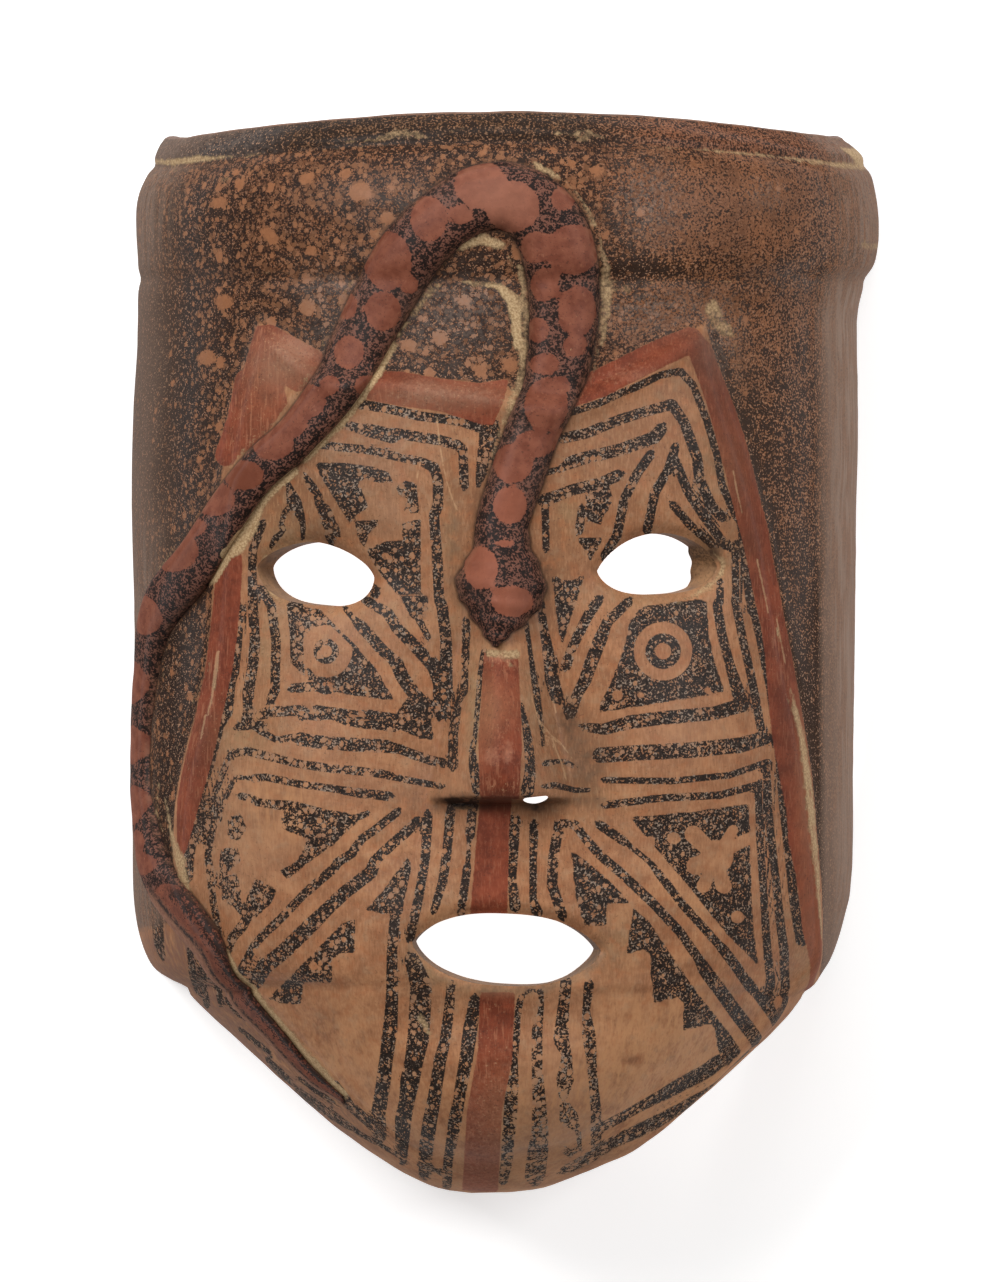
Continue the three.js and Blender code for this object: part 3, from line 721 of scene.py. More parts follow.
nv, nl, npoly = len(me.vertices), len(me.loops), len(me.polygons)
co = np.empty(nv * 3, np.float32); me.vertices.foreach_get("co", co); co = co.reshape(-1, 3)
lv = np.empty(nl, np.int32); me.loops.foreach_get("vertex_index", lv)
kind = np.empty(npoly, np.int32); me.polygons.foreach_get("material_index", kind)
lt = np.empty(npoly, np.int32); me.polygons.foreach_get("loop_total", lt)
loop_poly = np.repeat(np.arange(npoly), lt)


def layer(name):
    out = np.empty(nl * 2, np.float32)
    me.uv_layers[name].data.foreach_get("uv", out)
    return out.reshape(-1, 2).astype(float)


param, strap = layer("param"), layer("strap")

# one (a, y) for each vertex, from a corner of the class that comes first
rank = np.array([1, 4, 3, 2, 0])[kind[loop_poly]]
order = np.lexsort((np.arange(nl), rank, lv))
first = np.ones(nl, bool)
first[1:] = lv[order][1:] != lv[order][:-1]
pick = order[first]
A, H = np.zeros(nv), np.zeros(nv)
A[lv[pick]], H[lv[pick]] = param[pick, 0], param[pick, 1] * 100
is_snake = np.zeros(nv, bool)
is_snake[lv[kind[loop_poly] == SNAKE]] = True
across_body, along_body = np.zeros(nv), np.zeros(nv)
sl = np.flatnonzero(kind[loop_poly] == SNAKE)
across_body[lv[sl]], along_body[lv[sl]] = strap[sl, 1], strap[sl, 0] * 100
A, H = np.clip(A, -1, 1), np.clip(H, -124.9, 124.9)
xx, zz, side, _, length = on_section(A, np.round(H, 2))
U, V = xx / UNIT + 504, 651.5 - H / UNIT
S = A * length

me.uv_layers.remove(me.uv_layers["param"])
me.uv_layers.remove(me.uv_layers["strap"])

co[:, 0] += SHIFT[0] * 0.001
co[:, 1] += SHIFT[1] * 0.001
co[:, 2] = np.maximum(co[:, 2], 0)
me.vertices.foreach_set("co", co.ravel())

# crisp edges only where an applied strip, an opening or a rim meets the face
me.update(calc_edges=True)
le = np.empty(nl, np.int32); me.loops.foreach_get("edge_index", le)
ne = len(me.edges)
lo_k, hi_k = np.full(ne, 99), np.full(ne, -1)
np.minimum.at(lo_k, le, kind[loop_poly]); np.maximum.at(hi_k, le, kind[loop_poly])
sharp = (lo_k != hi_k) & ~((lo_k == OUTER) & (hi_k == RIM) & False)
lip_soft = np.zeros(ne, bool)
ev = np.empty(ne * 2, np.int32); me.edges.foreach_get("vertices", ev); ev = ev.reshape(-1, 2)
lip_soft = (H[ev[:, 0]] > 120) & (np.abs(A[ev[:, 0]]) < 0.99)
sharp &= ~lip_soft
attr = me.attributes.get("sharp_edge") or me.attributes.new("sharp_edge", "BOOLEAN", "EDGE")
attr.data.foreach_set("value", sharp)
me.polygons.foreach_set("use_smooth", np.ones(npoly, bool))
me.update()
print("faces", npoly, "triangles", int((lt - 2).sum()))

# ------------------------------------------------------------------ paint

# black strokes on the tan slip: points u, v and the width from there on
BLACK = [
    # forehead, left of the snake's neck
    [(360, 404, 8), (385, 408), (420, 416), (460, 421), (480, 428)],
    [(335, 422, 8), (358, 428), (368, 430, 12), (392, 436, 13), (395, 433, 9), (420, 437), (440, 440), (458, 445), (463, 450, 8), (464, 485)],
    [(318, 444, 7), (340, 447), (370, 450), (395, 456), (420, 461), (434, 467, 9), (438, 480), (438, 505), (434, 515), (436, 545), (437, 552), (439, 600), (442, 605, 10), (446, 640), (446, 690, 12), (444, 712, 8)],
    [(415, 612, 5), (428, 637)],
    # round the left eye
    [(305, 475, 3), (312, 487, 8), (321, 497, 3)], [(318, 502, 6), (324, 510, 12), (331, 518, 6)],
    [(325, 524, 5), (332, 528, 13), (337, 533, 6)], [(328, 535, 6), (332, 544, 4)],
    [(288, 483, 3), (291, 492, 8), (294, 503, 14), (300, 514, 8), (303, 525, 4), (303, 537, 3)],
    [(285, 512, 5), (281, 524, 3)], [(283, 531, 3), (276, 538, 6), (271, 546, 3)],
    [(262, 524, 7), (253, 549), (252, 569), (253, 608, 9), (255, 640), (253, 665), (248, 692, 10), (249, 710), (246, 724)],
    [(238, 727, 6), (262, 724)],
    [(262, 590, 8), (271, 605), (276, 640), (275, 690), (271, 699)],
    [(240, 608, 7), (238, 640), (235, 672), (231, 682, 8), (228, 712), (221, 726, 5), (210, 771), (206, 783), (198, 820)],
    [(366, 600, 8), (388, 613, 9), (397, 628, 10), (416, 647, 11), (433, 666), (440, 684, 12), (440, 712, 14)],
    [(345, 608, 4), (353, 618), (360, 625, 10), (372, 638), (383, 651), (390, 656, 9), (397, 664, 12), (402, 676), (410, 688), (420, 700), (428, 712)],
    [(330, 622, 2), (358, 650)],
    [(296, 603, 12), (297, 657, 12)],
    [(294, 661, 6), (310, 674)],
    [(293, 688, 8), (316, 686), (326, 690)],
    # left cheek
    [(266, 712, 9), (303, 710), (301, 717, 3), (321, 719, 2)],
    [(316, 707, 3), (359, 713)],
    [(321, 714, 9), (333, 714), (347, 722, 6), (366, 725), (373, 724, 8), (394, 727)],
    [(368, 713, 6), (400, 718)],
    [(258, 730, 5), (277, 740), (294, 737, 6), (300, 739, 12), (320, 742), (344, 744), (385, 746), (400, 749, 8), (415, 755), (430, 760), (444, 763)],
    [(233, 753, 7), (247, 751), (268, 756), (300, 764), (328, 768), (351, 770), (384, 774), (403, 779, 5), (430, 784), (441, 786)],
    [(231, 754, 5), (226, 765), (219, 783), (213, 802), (209, 820)],
    [(236, 777, 3), (250, 778), (255, 778, 7), (266, 777, 6), (300, 784), (330, 788), (360, 793, 8), (389, 796)],
    [(233, 781, 4), (221, 808), (219, 820)],
    [(241, 796, 6), (253, 799), (257, 802, 7), (271, 804), (291, 806, 10), (333, 817), (341, 816, 6), (351, 819), (366, 814, 5)],
    [(204, 800, 6), (198, 829), (194, 858), (193, 878)],
    [(211, 800, 4), (204, 839)],
    [(221, 806, 5), (213, 829), (209, 855), (213, 897), (219, 932)],
    # left jaw
    [(397, 812, 7), (373, 831), (361, 839), (352, 853, 8), (338, 862), (334, 868), (313, 886), (303, 895, 7), (280, 919), (256, 942), (241, 970)],
    [(418, 821, 9), (391, 845), (375, 860), (371, 872, 12), (344, 893), (327, 909), (311, 925, 14), (283, 952), (264, 967), (256, 981)],
    # upper lip, left and right of the red stripe
    [(474, 803, 9), (472, 812, 8), (470, 835), (469, 838, 3), (468, 862), (467, 868, 7), (464, 890), (461, 912)],
    [(452, 803, 7), (450, 815, 8), (447, 850), (443, 880), (434, 910, 6)],
    [(428, 815, 8), (425, 860), (418, 900), (410, 937)],
    [(514, 820, 12), (513, 850, 9), (512, 880, 7), (515, 906, 10)],
    [(534, 825, 8), (533, 860, 6), (533, 900), (537, 912, 10)],
    [(557, 835, 9), (553, 860), (552, 885), (558, 903), (562, 915)],
    # chin
    [(395, 915, 9), (392, 950), (392, 1000, 11), (390, 1030, 13), (386, 1060, 12), (383, 1085, 13), (378, 1115), (380, 1135, 12)],
    [(412, 960, 14), (421, 985, 20), (420, 1010), (418, 1040), (414, 1060, 17), (410, 1080, 18), (407, 1100, 14), (403, 1120, 15), (402, 1145, 12), (403, 1160, 7)],
    [(451, 985, 7), (449, 1010, 9), (445, 1040), (440, 1060, 11), (437, 1080), (434, 1100, 12), (430, 1120, 13), (427, 1140), (425, 1160, 12), (424, 1175, 8)],
    [(475, 1000, 10), (470, 1030, 13), (466, 1060, 12), (462, 1080, 11), (459, 1100, 10), (455, 1120, 12), (452, 1140, 10), (448, 1160, 8), (447, 1185)],
    [(520, 1000, 5), (517, 1020), (515, 1040, 8), (514, 1060, 6), (513, 1080, 9), (511, 1100, 12), (510, 1120), (508, 1140, 11), (507, 1160, 10), (503, 1180, 8)],
    [(541, 992, 4), (541, 1010), (537, 1030, 9), (537, 1070), (539, 1100, 12), (540, 1130, 15), (538, 1150, 19), (535, 1175)],
    [(523, 995, 2), (530, 990), (541, 992)],
    [(566, 982, 10), (563, 1010), (561, 1040, 14), (567, 1055, 8), (565, 1080, 16), (563, 1100, 6), (569, 1118, 18), (578, 1130, 4), (580, 1150, 3)],
    [(563, 1148, 6), (569, 1153)],
    [(589, 985, 9), (586, 1010, 6), (589, 1035, 12), (592, 1065, 8), (594, 1090), (596, 1110, 9), (596, 1145, 9)],
    # right jaw
    [(557, 835, 7), (558, 823), (575, 824), (585, 838), (600, 855, 8), (622, 874), (650, 900), (680, 932), (698, 958), (705, 970, 12), (727, 1000), (745, 1028), (752, 1038)],
    [(600, 825, 8), (622, 840), (630, 846, 4), (650, 862), (660, 875, 7), (683, 905), (710, 935), (719, 945), (722, 948, 9), (735, 965), (757, 997), (768, 1015)],
    [(716, 1055, 8), (700, 1068), (660, 1095), (620, 1118), (600, 1128)],
    [(745, 1050, 6), (715, 1075), (680, 1098), (645, 1122), (610, 1142), (585, 1158), (562, 1171)],
    [(330, 1110, 3), (360, 1133), (395, 1153)],
    [(335, 1085, 8), (350, 1105), (380, 1132)],
    [(420, 1165, 3), (440, 1172)],
    # right cheek
    [(717, 605, 8), (722, 635), (729, 662), (736, 685, 11), (742, 705, 13), (715, 713, 12), (660, 718), (630, 722), (604, 729, 10), (584, 727, 7)],
    [(735, 600, 7), (743, 640), (754, 690), (761, 730), (765, 740)],
    [(765, 738, 12), (740, 745, 14), (690, 750), (630, 753), (600, 755)],
    [(751, 600, 6), (760, 640), (770, 690), (777, 740), (781, 800), (787, 860), (793, 940)],
    [(767, 762, 5), (730, 775), (670, 781), (605, 780)],
    [(766, 765, 6), (769, 820), (775, 880), (780, 950), (777, 1000), (770, 1020)],
    [(757, 785, 6), (720, 795), (660, 798), (605, 805)],
    [(758, 785, 6), (760, 840), (764, 900), (767, 975), (764, 995)],
    # side of the jaw, left of the snake's tail
    [(157, 900, 9), (158, 925, 10), (160, 945, 8), (163, 957, 4)],
    [(191, 930, 3), (190, 950, 5), (193, 975, 6), (198, 992, 4)],
    [(203, 963, 5), (204, 985, 4), (207, 1004, 6)],
    [(215, 973, 3), (219, 990, 6), (221, 1003, 3)],
    [(226, 998, 3), (238, 1012, 6), (248, 1019, 4)],
    [(240, 1029, 3), (255, 1042, 4), (270, 1053, 3)],
    [(268, 1060, 4), (280, 1071, 6), (292, 1083, 4)],
    [(298, 1090, 5), (315, 1103, 7), (335, 1117, 6), (352, 1128, 4)],
    [(300, 1078, 3), (318, 1092, 4), (335, 1104, 3)],
    [(224, 868, 5), (223, 882, 8), (232, 897, 9), (242, 908, 10), (248, 916, 8), (241, 928, 9), (232, 938, 8), (229, 950, 5)],
    # sides of the nose
    [(466, 622, 7), (466, 637)],
    [(466, 642, 6), (465, 662, 7)],
    [(465, 670, 5), (464, 690, 7), (459, 700, 5), (455, 720, 8), (453, 735), (453, 765, 9)],
    [(484, 652, 5), (480, 675, 4), (478, 700), (475, 735, 3), (472, 752, 5), (474, 768, 9), (477, 790, 8)],
    [(522, 706, 3), (525, 722, 5), (528, 740, 8), (530, 760), (530, 775, 10), (527, 791, 12)],
    [(526, 622, 4), (530, 650, 3), (532, 665, 4), (536, 690, 6), (539, 710, 5), (542, 730, 3), (543, 744, 2)],
    [(541, 603, 6), (543, 625, 7), (547, 645, 9), (550, 665, 11), (552, 680, 13), (557, 697, 12)],
    [(598, 600, 9), (588, 615), (578, 635), (571, 650, 8), (566, 665, 10)],
    [(628, 602, 8), (607, 622, 9), (600, 640, 12), (592, 660), (585, 680, 11), (577, 695, 9), (570, 712, 12)],
    [(546, 763, 5), (558, 761, 3), (566, 762, 4), (574, 766, 3)],
    [(545, 786, 4), (555, 785, 5), (575, 790, 4), (588, 790, 3)],
    # right brow
    [(568, 413, 6), (599, 403), (618, 394), (640, 385), (660, 375), (680, 371), (693, 385), (706, 418), (717, 455), (722, 485), (735, 515), (741, 522, 7), (746, 570), (751, 610)],
    [(563, 438, 9), (587, 433), (618, 420), (640, 413), (672, 404), (684, 422), (697, 458), (699, 478), (712, 507), (722, 517)],
    [(543, 473, 5), (560, 469), (571, 462, 11), (584, 458), (622, 449), (655, 437), (661, 429)],
    [(542, 500, 10), (556, 496), (571, 490), (601, 483), (618, 475)],
    [(650, 455, 8), (636, 475), (624, 500), (617, 535), (605, 555)],
    [(675, 448, 8), (668, 470), (655, 492), (647, 530)],
    [(676, 462, 8), (688, 492), (703, 515), (725, 545)],
    [(673, 505, 7), (690, 525), (713, 545)],
    [(545, 503, 6), (546, 548)],
    [(582, 509, 7), (579, 531)],
    [(720, 583, 6), (720, 602)],
    [(735, 545, 6), (736, 605)],
]

BLACK_AREAS = [
    # star fields of the left forehead, in worn patches
    [(316, 463), (345, 464), (372, 467), (388, 473), (392, 482), (380, 482), (366, 478), (356, 480), (360, 488), (365, 502), (366, 507), (354, 515), (350, 522), (340, 505), (332, 492), (322, 476)],
    [(397, 488), (405, 482), (415, 484), (417, 498), (418, 512), (404, 511), (410, 498), (398, 494)],
    [(356, 522), (379, 521), (368, 533), (364, 545), (358, 534)],
    [(403, 524), (420, 520), (420, 560), (405, 560)],
    [(368, 551), (383, 543), (398, 541), (420, 540), (420, 591), (398, 594), (385, 578), (370, 556)],
    [(402, 597), (427, 597), (426, 616), (412, 618)],
    [(371, 584), (380, 588), (378, 597), (371, 597)],
    # left ring field
    [(287, 603), (320, 611), (337, 630), (350, 648), (357, 650), (373, 666), (381, 680), (393, 699), (366, 696), (334, 691), (336, 680), (322, 684), (300, 672), (293, 650)],
    [(407, 699), (419, 691), (430, 711), (432, 739), (420, 737), (401, 729), (394, 719)],
    # left worn flower field
    [(229, 818), (240, 815), (245, 828), (238, 840), (229, 836)],
    [(222, 850), (236, 848), (240, 860), (228, 870), (220, 866)],
    [(222, 878), (236, 875), (240, 893), (232, 905), (223, 900)],
    [(256, 880), (276, 890), (270, 903), (254, 917), (245, 921), (247, 900)],
    [(291, 804), (318, 809), (345, 813), (358, 820), (345, 832), (330, 846), (312, 858), (300, 868), (288, 878), (281, 870), (295, 864), (305, 850), (308, 838), (283, 828), (282, 815)],
    # left stepped motif of the jaw
    [(354, 920), (353, 951), (340, 952), (331, 958), (331, 982), (302, 981), (300, 1003), (284, 1003), (270, 998), (285, 983), (300, 968), (318, 950), (330, 937), (343, 924)],
    [(408, 858), (410, 870), (404, 895), (400, 917), (387, 913), (367, 909), (385, 890), (397, 873)],
    # right of the upper lip
    [(572, 852), (590, 865), (612, 885), (628, 902), (605, 903), (605, 925), (586, 925), (578, 903), (575, 880)],
    # right stepped motif of the jaw
    [(634, 910), (648, 922), (665, 948), (682, 973), (700, 998), (716, 1018), (726, 1032), (733, 1045), (720, 1058), (716, 1048), (716, 1030), (712, 1022), (684, 1029), (685, 1003), (678, 996), (655, 1001), (652, 972), (652, 955), (645, 948), (628, 952), (631, 930)],
    # right flower field
    [(748, 805), (690, 813), (632, 818), (650, 840), (668, 860), (685, 880), (705, 905), (725, 930), (756, 962), (752, 930), (749, 860)],
    # right ring field
    [(645, 607), (700, 600), (706, 602), (707, 630), (712, 656), (718, 676), (723, 690), (703, 695), (670, 700), (640, 705), (600, 711), (603, 700), (612, 682), (620, 662), (627, 640), (631, 622), (640, 610)],
    # nose side, brow and neck patches
    [(553, 577), (560, 580), (572, 582), (583, 576), (579, 590), (575, 602), (571, 614), (566, 628), (562, 642), (558, 622), (556, 600)],
    [(584, 484), (606, 480), (612, 498), (604, 515), (590, 512)],
    [(587, 506), (601, 506), (601, 523), (587, 520)],
    [(579, 539), (601, 539), (591, 559)],
    [(480, 424), (497, 420), (500, 440), (492, 462), (478, 488), (476, 480), (480, 440)],
]

# slip left free inside the black areas: strokes, and rings by centre and radii
FREE = [
    [(716, 856, 34), (717, 857)], [(716, 856, 16), (694, 835, 19), (693, 834)], [(716, 856, 12), (733, 830, 12)],
    [(716, 856, 12), (745, 840, 14), (752, 838, 12)], [(716, 856, 14), (696, 865, 19), (695, 866)],
    [(716, 856, 12), (704, 885, 15), (703, 886)], [(716, 856, 12), (723, 885, 17), (724, 886)],
    [(673, 838, 14), (674, 838)], [(650, 840, 10), (651, 840)], [(737, 917, 14), (738, 917)],
    [(617, 695, 12), (618, 695)], [(640, 695, 8), (641, 695)], [(707, 690, 8), (708, 690)],
    [(385, 556, 9), (386, 556)], [(412, 555, 8), (412, 556)], [(313, 966, 10), (314, 966)],
    [(420, 1026, 10), (430, 1026)],
]
RINGS = [(663, 651, 30, 17, 9), (326, 651, 27, 12, 7)]     # centre, outside, dark ring, middle

RED = [
    [(700, 350, 24), (711, 380), (722, 410, 26), (731, 440, 28), (739, 470), (746, 500), (754, 530), (760, 560, 26), (766, 590), (773, 625, 24), (778, 655, 26), (781, 680, 28), (785, 715, 31), (789, 745, 32), (794, 780, 30), (798, 810, 28), (800, 840, 28), (803, 870, 24), (804, 900, 20), (805, 930), (806, 960, 15), (806, 985, 12)],
    [(246, 380, 22), (238, 420), (226, 455)],
    [(230, 560, 25), (227, 600, 27), (223, 640, 27), (219, 670, 26), (213, 700, 25), (207, 730, 24), (200, 765, 23), (193, 800, 20), (190, 828, 14), (188, 850, 8)],
    [(572, 394, 26), (600, 383, 28), (630, 368), (660, 353), (690, 340, 26)],
]
RED_AREAS = [
    [(256, 326), (272, 324), (300, 340), (322, 352), (328, 366), (318, 385), (296, 392), (283, 384), (288, 402), (276, 420), (262, 440), (240, 455), (222, 458), (236, 400), (246, 360)],
    [(360, 398), (374, 371), (400, 371), (440, 378), (480, 383), (509, 378), (504, 400), (493, 425), (480, 424), (440, 411), (400, 406)],
    [(484, 652), (518, 652), (521, 720), (522, 745), (519, 799), (480, 799), (478, 740), (481, 700)],
    [(480, 798), (512, 798), (509, 830), (508, 880), (507, 914), (470, 914), (473, 880)],
    [(480, 992), (515, 992), (512, 1060), (502, 1110), (498, 1192), (462, 1192), (467, 1110), (478, 1050)],
]

# red spots of the snake: centre and half axes
SPOTS = [(389, 261, 24, 30), (383, 311, 18, 20), (346, 305, 11, 14), (349, 352, 15, 17), (481, 185, 26, 24), (512, 207, 27, 26),
         (430, 219, 18, 23), (561, 199, 12, 12), (571, 250, 27, 25), (534, 248, 14, 16), (544, 285, 14, 17), (577, 311, 19, 26),
         (538, 330, 11, 13), (544, 364, 15, 11), (546, 405, 22, 27), (534, 444, 20, 14), (513, 463, 20, 20), (510, 505, 17, 19),
         (309, 401, 17, 17), (290, 421, 18, 17), (273, 443, 21, 17), (244, 475, 20, 15), (216, 499, 19, 17), (183, 550, 18, 22),
         (481, 568, 17, 22), (512, 601, 21, 16), (505, 543, 9, 4), (160, 615, 12, 20), (147, 682, 9, 22), (145, 745, 8, 20), (147, 805, 8, 20),
         (150, 844, 8, 14), (158, 864, 11, 11), (180, 895, 13, 12), (366, 385, 12, 10), (575, 345, 12, 12), (560, 440, 10, 12),
         (330, 385, 10, 10), (462, 215, 12, 10), (410, 285, 9, 9), (196, 527, 12, 10), (560, 385, 10, 10)]

# pale earth, and a painted highlight along the band's lower edge: points, width, then how strong
DEPOSITS = [
    ([(140, 137, 7), (165, 137, 9), (190, 138, 9), (215, 140, 5), (250, 141, 3)], 0.8),
    ([(250, 141, 3), (300, 142, 2), (340, 142, 3), (380, 141, 5), (415, 141, 4), (470, 141, 3), (520, 142, 3), (560, 141, 4)], 0.62),
    ([(560, 141, 4), (590, 140, 6), (610, 142, 2), (650, 143, 3), (700, 142, 4), (740, 142, 6), (790, 143, 7), (830, 143, 9), (862, 142, 12)], 0.70),
    ([(340, 136, 6), (372, 135, 8), (392, 131, 13), (412, 132, 12), (430, 136, 5)], 0.62), ([(446, 130, 8), (462, 128, 8)], 0.55),
    ([(548, 134, 5), (562, 132, 8), (590, 133, 12), (606, 135, 5)], 0.62), ([(848, 126, 12), (858, 132, 26)], 0.8), ([(603, 262, 8), (606, 285, 13), (607, 310, 11), (603, 345, 6)], 0.70), ([(612, 285, 16), (626, 290, 12)], 0.60), ([(842, 240, 14), (857, 243, 14)], 0.62),
    ([(238, 134, 4), (262, 133, 3)], 0.55), ([(150, 152, 16), (165, 146, 14)], 0.5), ([(223, 166, 13), (228, 166, 10)], 0.55),
    ([(512, 184, 9), (514, 188, 7)], 0.9), ([(560, 320, 3), (563, 333, 2)], 0.9), ([(570, 342, 5), (571, 352, 6), (572, 362, 2)], 0.95),
    ([(712, 306, 16), (716, 322, 20), (728, 332, 16)], 0.66),
    ([(600, 284, 6), (640, 284, 3), (700, 282, 3), (760, 281, 2), (840, 278, 2)], 0.7),
    # painted highlight along the band's lower edge on the left, drawn as earth
    ([(142, 262, 2), (215, 266, 3), (255, 272, 3), (335, 274, 3)], 0.62),
    ([(700, 318, 18), (718, 322, 20), (735, 345, 12), (750, 400, 8)], 0.45),
    ([(266, 556, 9), (263, 572, 13), (269, 590, 11), (281, 602, 6)], 0.66), ([(262, 640, 8), (263, 655, 8)], 0.6),
    ([(712, 552, 5), (724, 562, 8), (721, 574, 7), (708, 588, 9), (690, 596, 5)], 0.72), ([(670, 534, 9), (690, 541, 8)], 0.55), ([(650, 605, 4), (675, 603, 6), (700, 594, 7)], 0.6),
    ([(784, 690, 2), (792, 720, 3)], 0.8), ([(788, 690, 4), (798, 735, 10), (802, 775, 13), (806, 812, 14), (809, 850, 13), (811, 900, 9), (812, 935, 6)], 0.735), ([(797, 745, 3), (801, 790, 5)], 0.72), ([(803, 800, 4), (806, 850, 6)], 0.78), ([(796, 760, 2), (800, 800, 2)], 0.8), ([(776, 628, 5), (779, 640)], 0.7),
    ([(806, 818, 9), (807, 852, 7)], 0.72), ([(806, 862, 4), (807, 900, 5)], 0.55), ([(812, 930, 5), (815, 958, 7), (812, 985, 5)], 0.62), ([(838, 880, 6), (838, 918, 10), (831, 950, 12)], 0.40),
    ([(248, 982, 5), (265, 1004, 7), (285, 1028, 8), (305, 1052, 8), (322, 1072, 11), (336, 1088, 9), (345, 1098, 4)], 0.82),
    ([(168, 800, 4), (173, 830, 8), (185, 858, 14), (190, 885, 10), (199, 912, 5), (212, 940, 4)], 0.74), ([(214, 655, 4), (193, 705), (176, 760), (167, 820)], 0.62), ([(163, 780, 3), (158, 812, 5), (165, 832, 3)], 0.7),
    ([(222, 557, 12), (235, 545, 21), (250, 527, 15), (259, 512, 8)], 0.92), ([(172, 618, 3), (165, 660, 4), (162, 700, 3), (158, 760, 2)], 0.6),
    ([(190, 740, 3), (194, 770, 6), (188, 800, 7)], 0.5), ([(219, 655, 3), (216, 680, 4), (212, 705, 2)], 0.75),
    ([(414, 935, 6), (418, 955, 6), (440, 975, 4)], 0.45), ([(596, 935, 5), (598, 960, 6), (570, 980, 4)], 0.5),
    ([(490, 653, 9), (516, 654, 11)], 0.8), ([(492, 664, 8), (496, 684, 5)], 0.55), ([(508, 664, 9), (514, 668, 8)], 0.6),
    ([(500, 288, 8), (512, 300, 14), (517, 320, 12), (518, 345, 10)], 0.95), ([(462, 282, 4), (500, 286, 7)], 0.85),
    ([(518, 345, 6), (520, 375, 9), (512, 395, 16), (500, 404, 10)], 0.6), ([(420, 1018, 10), (430, 1034, 8)], 0.7), ([(610, 905, 3), (604, 925, 3)], 0.5),
    ([(462, 248, 8), (482, 239, 12), (500, 246, 9)], 0.84), ([(398, 335, 6), (425, 300, 6), (440, 284, 6)], 0.74), ([(508, 255, 6), (514, 272, 5)], 0.66),
]

# thin cracks and scratches, paler than the slip
SCRATCHES = [
    [(437, 417, 1.6), (439, 440), (443, 465, 1.1), (447, 482), (452, 498, 1.6), (457, 509)], [(420, 463, 1.2), (417, 478)],
    [(218, 652, 3.0), (216, 672, 3.6), (213, 696, 1.6), (209, 716, 1.0)], [(207, 716, 1.4), (204, 738)],
    [(531, 696, 0.9), (537, 714), (543, 730), (548, 745)], [(536, 716, 0.8), (548, 731)], [(552, 738, 1.5), (557, 752), (562, 764), (566, 780)],
    [(545, 730, 0.8), (560, 742), (572, 758)], [(553, 700, 1.2), (556, 713)],
    [(733, 470, 1.6), (737, 492), (742, 512, 1.1)], [(757, 560, 1.4), (764, 592, 1.8), (768, 612)], [(776, 618, 1.2), (784, 664)],
    [(790, 700, 1.8), (797, 742), (801, 790, 2.4), (803, 828)], [(796, 716, 1.2), (802, 760)], [(806, 800, 1.6), (810, 858)],
]

# stretches of the body's edge with earth beside it
CORNERS = [
    ([(432, 285, 12), (400, 330)], 0.6), ([(390, 345, 14), (375, 375), (360, 395), (345, 415), (325, 435), (305, 455)], 0.95),
    ([(290, 475, 20), (270, 500), (250, 525), (235, 550), (215, 575)], 0.95),
    ([(395, 205, 14), (365, 245), (345, 285), (328, 325), (318, 350), (300, 385), (262, 430), (210, 480), (180, 530), (160, 570)], 0.62),
    ([(540, 165, 16), (575, 180), (598, 225)], 0.76), ([(600, 230, 14), (606, 270, 16), (608, 340)], 0.74), ([(602, 345, 12), (590, 385)], 0.6),
    ([(440, 262, 14), (455, 250, 12)], 0.6), ([(518, 270, 16), (524, 320), (518, 385), (504, 420)], 0.72),
    ([(505, 405, 12), (500, 430), (492, 455), (478, 476), (470, 505)], 0.62), ([(545, 470, 12), (532, 500), (524, 530)], 0.5), ([(575, 400, 14), (560, 450), (545, 500)], 0.45),
    ([(190, 905, 12), (215, 945), (250, 985), (285, 1025), (320, 1062), (345, 1092)], 0.95),
    ([(142, 640, 12), (134, 720), (134, 800)], 0.45),
]

FLECKS = [(224, 302, 9), (308, 308, 9), (207, 358, 9), (363, 190, 12), (346, 170, 7), (309, 172, 8), (222, 193, 8), (271, 230, 7),
          (314, 250, 6), (390, 218, 8), (440, 338, 9), (408, 345, 8), (463, 300, 7), (480, 370, 8), (510, 365, 9), (595, 170, 7)]


def field_of(points, areas, px, py):
    s = Strokes(px, py)
    for p in points:
        s.add(p)
    f = s.margin.copy()
    for poly in areas:
        f = np.maximum(f, polygon_field(px, py, poly, s.reach))
    return f


black = Strokes(U, V)
for points in BLACK:
    black.add(points)
scars = Strokes(U, V)
for points in SCRATCHES:
    scars.add(points)
area = np.full(nv, -16.0)
for poly in BLACK_AREAS:
    area = np.maximum(area, polygon_field(U, V, poly, 16))
free = Strokes(U, V)
for points in FREE:
    free.add(points)
area = np.minimum(area, -free.margin)
for cu, cv, r1, r2, r3 in RINGS:
    d = np.hypot(U - cu, V - cv)
    near = d < r1 + 8
    ring = np.maximum(np.minimum(d - r3, r2 - d), d - r1)
    area[near] = np.minimum(area, ring)[near]
red = field_of(RED, RED_AREAS, U, V)
panel = panel_inside(xx, H) / UNIT

spots = np.full(nv, -16.0)
for cu, cv, ru, rv in SPOTS:
    yc = float(Y(cv))
    lc = float(length_at(np.array([yc]))[0])
    s0, s1 = across(X([cu - ru, cu + ru]), np.array([yc, yc])) * lc
    sc, rs, ry = (s0 + s1) / 2, max(abs(s1 - s0) / 2, ru * UNIT), rv * UNIT
    q = np.hypot((S - sc) / rs, (H - yc) / ry)
    spots = np.maximum(spots, (1 - q) * min(rs, ry) / UNIT)

fleck = np.full(nv, -16.0)
for fu, fv, fr in FLECKS:
    fleck = np.maximum(fleck, fr - np.hypot(U - fu, (V - fv) * 1.2))

# distance to the edge of the snake's body, on the unrolled surface
line, half_width, _ = snake_line(np.arange(161) / 160)
body = Strokes(S, H, 9.0)
body.add([(p[0], p[1], 2 * w) for p, w in zip(line, half_width)])
foot = -body.margin / UNIT          # steps outside the edge

